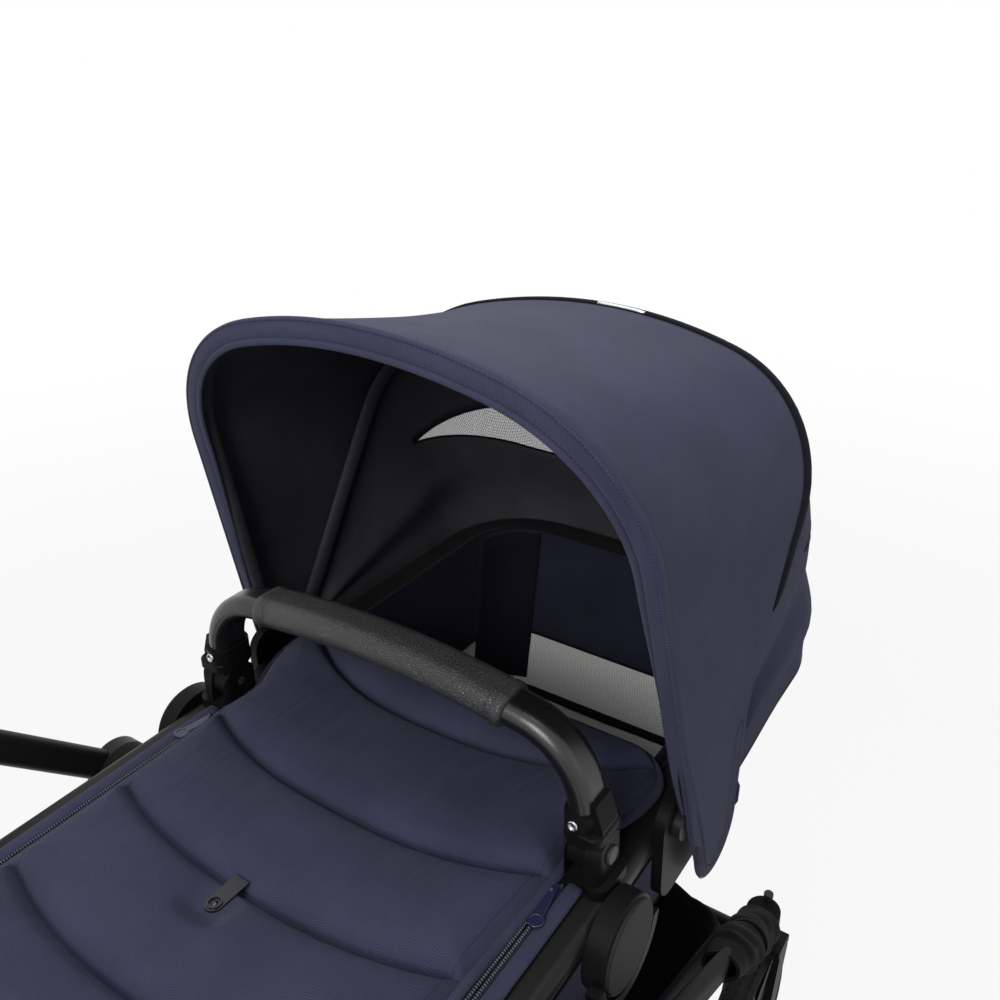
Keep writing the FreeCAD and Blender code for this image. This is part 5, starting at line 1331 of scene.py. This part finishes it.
basket = {"low": 188.0, "rim": 452.0, "lowHalf": 214.0, "rimHalf": 236.0, "back": -246.0, "front": 300.0,
          "taper": 34.0, "corner": 48.0, "frontFall": 10.0, "backFall": -90.0, "frontRim": 338.0,
          "frontCrown": 378.0, "backRim": 322.0, "crownFrom": 70.0, "crownTo": 30.0, "middle": 27.0,
          "rows": 22, "steps": (22, 10, 30), "ripple": 1.25, "ripples": 11,
          "floorRings": (1.0, 0.93, 0.8, 0.6, 0.35, 0.1)}


def basketLevel(t):
    half = basket["rimHalf"] + t * (basket["lowHalf"] - basket["rimHalf"])
    return half, basket["back"] + basket["taper"] * t, basket["front"] - basket["taper"] * t, basket["corner"]


def basketRim(x, y):
    front = np.interp(y, (basket["frontFall"], basket["front"]), (basket["rim"], basket["frontRim"]))
    rear = np.interp(y, (basket["back"], basket["backFall"]), (basket["backRim"], basket["rim"]))
    flat = basket["rimHalf"] - basket["corner"]
    crown = (basket["frontCrown"] - basket["frontRim"]) * np.clip(1 - (x / flat) ** 2, 0, 1)
    return np.minimum(front, rear) + crown * smooth(y, basket["front"] - basket["crownFrom"],
                                                  basket["front"] - basket["crownTo"])


def makeBasket():
    high, low = [roundLoop(*basketLevel(t), basket["steps"]) for t in (0, 1)]
    top = basketRim(high[:, 0], high[:, 1])
    turn = np.arange(len(high)) / len(high) * 2 * math.pi
    centre = np.array([0, basket["middle"]])
    loops = []
    for share in np.linspace(0, 1, basket["rows"]):
        z = basket["low"] + (top - basket["low"]) * share
        t = ((basket["rim"] - z) / (basket["rim"] - basket["low"]))[:, None]
        xy = high * (1 - t) + low * t
        ripple = basket["ripple"] * math.sin(math.pi * share) * np.cos(turn * basket["ripples"])
        loops.append(np.column_stack([xy - unit(xy - centre) * (1.2 + ripple[:, None]), z + floorZ]))
    grid = np.array(loops)
    walls = gridPiece("w", grid, looks["blackCloth"], loop=True)
    floorLoops = []
    for scale in basket["floorRings"]:
        edge = loops[0].copy()
        edge[:, :2] = (edge[:, :2] - centre) * scale + centre
        edge[:, 2] += 3.0 * (1 - scale)
        floorLoops.append(edge)
    base = gridPiece("b", floorLoops, looks["blackCloth"], loop=True, flip=True)
    cloth = joinPieces("basketCloth", [walls, base])
    tidyMesh(cloth, 0.00005)
    modified(cloth, "SOLIDIFY", thickness=0.0022, offset=-1.0)
    baked(cloth)
    finished(smoothed(cloth), "chassis", ["basket"])
    rim, seam = grid[-1], grid[3]
    section = ringSection(6.5, 11.0, 12, 2.6)
    binding = tubePiece("basketBinding", rim, section, (0, 0, 1), looks["bindingTape"], loop=True)
    finished(binding, "chassis")
    out = np.column_stack([unit(seam[:, :2] - centre), np.zeros(len(seam))])
    paths = [rim - [0, 0, 10.5] + out, seam + out * 0.6]
    stitches = stitchPiece("basketStitches", paths, loop=True, pitch=4.0, size=(0.45, 0.45, 1.4))
    finished(stitches, "chassis")
    print("basket made")


makeBasket()


# Gathered fabric sleeves on the front legs.
legSleeve = {"top": (284.0, -75.0, -64.0), "end": (234.0, 390.0, -402.0), "from": 318.0, "to": 553.0,
             "rows": 130, "around": 56, "wide": 56.0, "tall": 47.0, "cuffWide": 37.0, "cuffTall": 24.0,
             "fold": 1.5, "strap": 1.6, "strapAt": 0.56,
             "bands": ((1, 5.0, 2.0), (-2, 5.0, 2.0), (73, 15.0, 2.4))}


def makeLegSleeve(side, sign):
    top, end = np.array(legSleeve["top"]), np.array(legSleeve["end"])
    along = unit(end - top)
    across = unit(np.cross(along, (0, 0, 1)))
    up = np.cross(across, along)
    turn = np.linspace(0, 2 * math.pi, legSleeve["around"], endpoint=False)
    rows = []
    for share in np.linspace(0, 1, legSleeve["rows"]):
        spot = legSleeve["from"] + (legSleeve["to"] - legSleeve["from"]) * share
        full = float(smooth(share, 0.0, 0.3) * smooth(share, 1.0, 0.9))
        swell = full * (0.7 + 0.3 * share)
        wide = legSleeve["cuffWide"] + (legSleeve["wide"] - legSleeve["cuffWide"]) * swell
        tall = legSleeve["cuffTall"] + (legSleeve["tall"] - legSleeve["cuffTall"]) * swell
        wave = np.sin(spot / 7.5 + 2.6 * np.sin(turn + 0.6) + 1.3 * np.sin(spot / 31.0))
        wave += 0.7 * np.sin(spot / 13.0 + 3 * turn) * np.cos(spot / 23.0)
        wave += 0.4 * np.sin(spot / 4.1 - 2 * turn + np.sin(spot / 19.0))
        strap = legSleeve["strap"] * math.exp(-((share - legSleeve["strapAt"]) / 0.035) ** 2)
        more = legSleeve["fold"] * full * wave - strap
        aside = across * (np.cos(turn) * (wide / 2 + more))[:, None]
        rows.append(top + along * spot + aside + up * (np.sin(turn) * (tall / 2 + more))[:, None])
    grid = np.array(rows)
    if sign < 0:
        grid = mirroredX(grid)
    sleeve = gridPiece("legSleeve" + side, grid, looks["blackCloth"], loop=True, flip=sign > 0)
    modified(sleeve, "SOLIDIFY", thickness=0.0018, offset=-1.0)
    baked(sleeve)
    tidyMesh(sleeve)
    bands = []
    for row, width, thick in legSleeve["bands"]:
        outward = unit(grid[row] - grid[row].mean(axis=0))
        path, section = grid[row] + outward * 0.9, ringSection(width, thick, 10, 3.0)
        bands.append(tubePiece("band", path, section, outward, looks["bindingTape"], loop=True))
    finished(sleeve, "chassis")
    finished(joinPieces("legSleeveBands" + side, bands), "chassis")


makeLegSleeve("Right", 1)
makeLegSleeve("Left", -1)
print("leg sleeves made")


wheels = {"front": {"radius": 100.0, "width": 38.0, "depth": 17.0, "blocks": 58},
          "rear": {"radius": 147.0, "width": 42.0, "depth": 22.0, "blocks": 84}}
tread = {"turn": 0.62 * math.pi, "steps": 26, "grooveAt": 0.36, "groove": 1.3, "shoulderAt": 0.66,
         "shoulder": 3.2, "around": 180}


def ringPath(centre, along, radius, turn):
    return np.column_stack([np.full(len(turn), centre[0] + along), centre[1] + radius * np.cos(turn),
                            centre[2] + radius * np.sin(turn)])


def makeTread(end, side):
    facts = wheels[end]
    centre = middleOf(end + "_tyre_" + side)
    outer = facts["radius"]
    half = facts["width"] / 2
    profile = []
    for turn in np.linspace(-tread["turn"], tread["turn"], tread["steps"]):
        past = max(0.0, abs(turn) - math.pi / 2)
        along = half * math.copysign(1 - 0.25 * past, turn) if past else half * math.sin(turn)
        deep = facts["depth"] * 0.62 * (1 - math.cos(turn))
        grooves = (-half * tread["grooveAt"], half * tread["grooveAt"])
        groove = tread["groove"] * sum(math.exp(-((along - g) / 1.1) ** 2) for g in grooves)
        profile.append((along, outer - 1.4 - min(deep, facts["depth"] * 1.02) - groove))
    inner = outer - facts["depth"] + 0.3
    profile = [(-half * 0.8, inner)] + profile + [(half * 0.8, inner)]
    tyre = lathePiece("t", profile, centre, (1, 0, 0), looks["rubber"], 96)
    rows = []
    for sign in (0, -1, 1):
        turn = np.linspace(0, 2 * math.pi, tread["around"], endpoint=False) + 0.04 * abs(sign)
        radius = outer - 1.6 - tread["shoulder"] * abs(sign)
        rows.append(ringPath(centre, sign * half * tread["shoulderAt"], radius, turn))
    pitch = 2 * math.pi * outer / facts["blocks"]
    blocks = rowPiece("b", blockRow, rows, looks["rubber"], pitch, (1.3, half * 0.2, pitch * 0.36), loop=True)
    piece = joinPieces(end + "Tyre" + side.title(), [tyre, blocks])
    for polygon in piece.data.polygons:
        polygon.use_smooth = len(polygon.vertices) > 3 and polygon.area > 4e-6
    finished(piece, end + "_wheel_" + side, [end + "_tyre_" + side])


pushGrip = {"radius": 16.4, "half": 204.5, "bore": 12.0, "seam": 12.0, "stitches": 14.0, "slit": 0.1}


def makePushGrip():
    centre = middleOf("handlebar_grip")
    radius, half = pushGrip["radius"], pushGrip["half"]
    profile = [(-half, pushGrip["bore"]), (-half, radius - 2.5)]
    for along in np.linspace(-half, half, 90):
        toEnd = half - abs(along)
        seam = math.exp(-((toEnd - pushGrip["seam"]) / 1.4) ** 2) + 0.6 * math.exp(-(along / 1.6) ** 2)
        roll = 2.4 * (1 - math.sqrt(max(0.0, 1 - (1 - min(1, toEnd / 3.0)) ** 2)))
        profile.append((along, radius - roll - seam + 0.1 * math.sin(along / 6.0)))
    profile += [(half, radius - 2.5), (half, pushGrip["bore"])]
    sleeve = lathePiece("pushSleeve", profile, centre, (1, 0, 0), looks["gripLeather"], 40)
    modified(sleeve, "SUBSURF", levels=1, render_levels=1)
    baked(sleeve)
    finished(sleeve, "push_bar", ["handlebar_grip"])
    last, proud = half - pushGrip["stitches"], radius + 0.1
    run = np.linspace(-last, last, 120)
    turn = pushGrip["slit"]
    slits = [np.array((0, proud * math.sin(a), -proud * math.cos(a))) for a in (-turn, turn)]
    lines = [np.array(centre) + np.outer(run, (1, 0, 0)) + aside for aside in slits]
    lines += [ringPath(centre, along, proud, np.linspace(0, 2 * math.pi, 60)) for along in (-last, last)]
    finished(stitchPiece("pushStitches", lines, pitch=3.8, size=(0.42, 0.42, 1.4)), "push_bar")


for end in wheels:
    for side in ("right", "left"):
        makeTread(end, side)
makePushGrip()
print("tyres and push grip made")


# Finishes of the pieces that come from the frame as they are.
nodeLooks = {
    "handleTube": ["carry_handle"],
    "legTube": ["front_leg_*"],
    "paintedTube": ["bassinet_rim", "canopy_front_bow", "canopy_rear_bow", "front_crossbar", "rear_leg_*",
                    "rear_axle_bar", "handlebar_lower_*", "handlebar_upper"],
    "blackPlastic": ["canopy_clamps", "mount_drums", "hub_plates", "handle_adapters", "handle_feet",
                     "castor_fork_*", "height_collars", "brake_pedal", "clamp_lever_*", "fold_slider_*",
                     "front_rim_*", "rear_rim_*"],
    "ridgePlastic": ["handle_button_*", "swivel_lock_*"],
    "lensGrey": ["drum_caps"],
    "steel": ["handle_pins", "hub_pivots", "rear_axle_pins", "lever_pins", "brake_pin_*"],
    "darkMetal": ["apron_tab"],
    "glossNavy": ["zip_slider_*"],
    "blackCloth": ["basket_hangers"],
}


def paintNodes():
    left = set(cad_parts)
    for look, nodes in nodeLooks.items():
        sides = [node.replace("*", side) for node in nodes for side in ("right", "left")]
        for node in sorted(set(sides)):
            left.discard(node)
            piece = bpy.data.objects[node]
            if not piece.material_slots:
                piece.data.materials.append(looks[look])
            for slot in piece.material_slots:
                slot.material = looks[look]
    shown = [node for node in left if not bpy.data.objects[node].hide_render]
    print("CAD nodes painted; still plain:", shown)


paintNodes()


camera = {"place": (492.0, -519.0, 640.0), "tilt": 66.69, "turn": 32.10, "lens": 36.0,
          "shift": (-0.05, -0.06)}
studio = {"floor": (0.6, 0.6, 0.6, 1.0), "world": 0.2, "glow": 0.9, "glowFrom": 1.2, "glowTo": 3.5,
          "reach": 40.0, "focus": (0, 150, 150)}
lamps = {"key": {"place": (250, 450, 2250), "size": 1.1, "power": 17.0},
         "front": {"place": (350, -1700, 1350), "size": 1.0, "power": 33.0},
         "right": {"place": (1900, 100, 700), "size": 0.9, "power": 1.5},
         "rim": {"place": (-900, 1500, 1300), "size": 1.0, "power": 5.0}}


def makeCamera():
    data = bpy.data.cameras.new("camera")
    data.lens, data.sensor_width = camera["lens"], 36.0
    data.shift_x, data.shift_y = camera["shift"]
    data.clip_start, data.clip_end = 0.02, 30.0
    holder = linked("camera", data)
    holder.location = at(*camera["place"])
    holder.rotation_euler = (math.radians(camera["tilt"]), 0.0, math.radians(camera["turn"]))
    bpy.context.scene.camera = holder


def makeLamp(name, facts):
    data = bpy.data.lights.new(name, "AREA")
    data.shape, data.size, data.size_y = "RECTANGLE", facts["size"], facts["size"]
    data.energy = facts["power"]
    lamp = linked(name, data)
    lamp.location = at(*facts["place"])
    lamp.rotation_euler = (at(*studio["focus"]) - at(*facts["place"])).to_track_quat("-Z", "Y").to_euler()


def seenDirectly(tree):
    path = tree.nodes.new("ShaderNodeLightPath").outputs
    either = calc(tree, "MAXIMUM", path["Is Camera Ray"], path["Is Glossy Ray"])
    return calc(tree, "MAXIMUM", either, path["Is Transmission Ray"])


def makeFloor():
    mesh = bpy.data.meshes.new("floor")
    reach = studio["reach"]
    corners = [(-reach, -reach, 0), (reach, -reach, 0), (reach, reach, 0), (-reach, reach, 0)]
    mesh.from_pydata(corners, [], [(0, 1, 2, 3)])
    material = bpy.data.materials.new("floorPaint")
    material.use_nodes = True
    tree = material.node_tree
    shader = tree.nodes["Principled BSDF"]
    shader.inputs["Base Color"].default_value = studio["floor"]
    shader.inputs["Roughness"].default_value = 0.9
    glow = wire(tree, "ShaderNodeEmission", {"Color": (1, 1, 1, 1), "Strength": 1.0}).outputs[0]
    coords = tree.nodes.new("ShaderNodeTexCoord").outputs["Object"]
    far = wire(tree, "ShaderNodeVectorMath", {0: coords}, operation="LENGTH").outputs["Value"]
    spread = remap(tree, far, studio["glowFrom"], studio["glowTo"], studio["glow"], 1.0)
    share = calc(tree, "MULTIPLY", seenDirectly(tree), spread)
    mixed = wire(tree, "ShaderNodeMixShader", {0: share, 1: shader.outputs[0], 2: glow}).outputs[0]
    plug(tree, mixed, tree.nodes["Material Output"].inputs["Surface"])
    mesh.materials.append(material)
    linked("floor", mesh)


def makeWorld():
    world = bpy.data.worlds.new("studio")
    bpy.context.scene.world = world
    world.use_nodes = True
    tree = world.node_tree
    sky = tree.nodes["Background"]
    level = studio["world"]
    strength = calc(tree, "MULTIPLY_ADD", seenDirectly(tree), 1.0 - level, level)
    sky.inputs["Color"].default_value = (1, 1, 1, 1)
    plug(tree, strength, sky.inputs["Strength"])


def makeStudio():
    makeCamera()
    makeFloor()
    makeWorld()
    for name, facts in lamps.items():
        makeLamp(name, facts)
    bpy.context.scene.view_settings.view_transform = "Standard"
    print("studio made")


makeStudio()
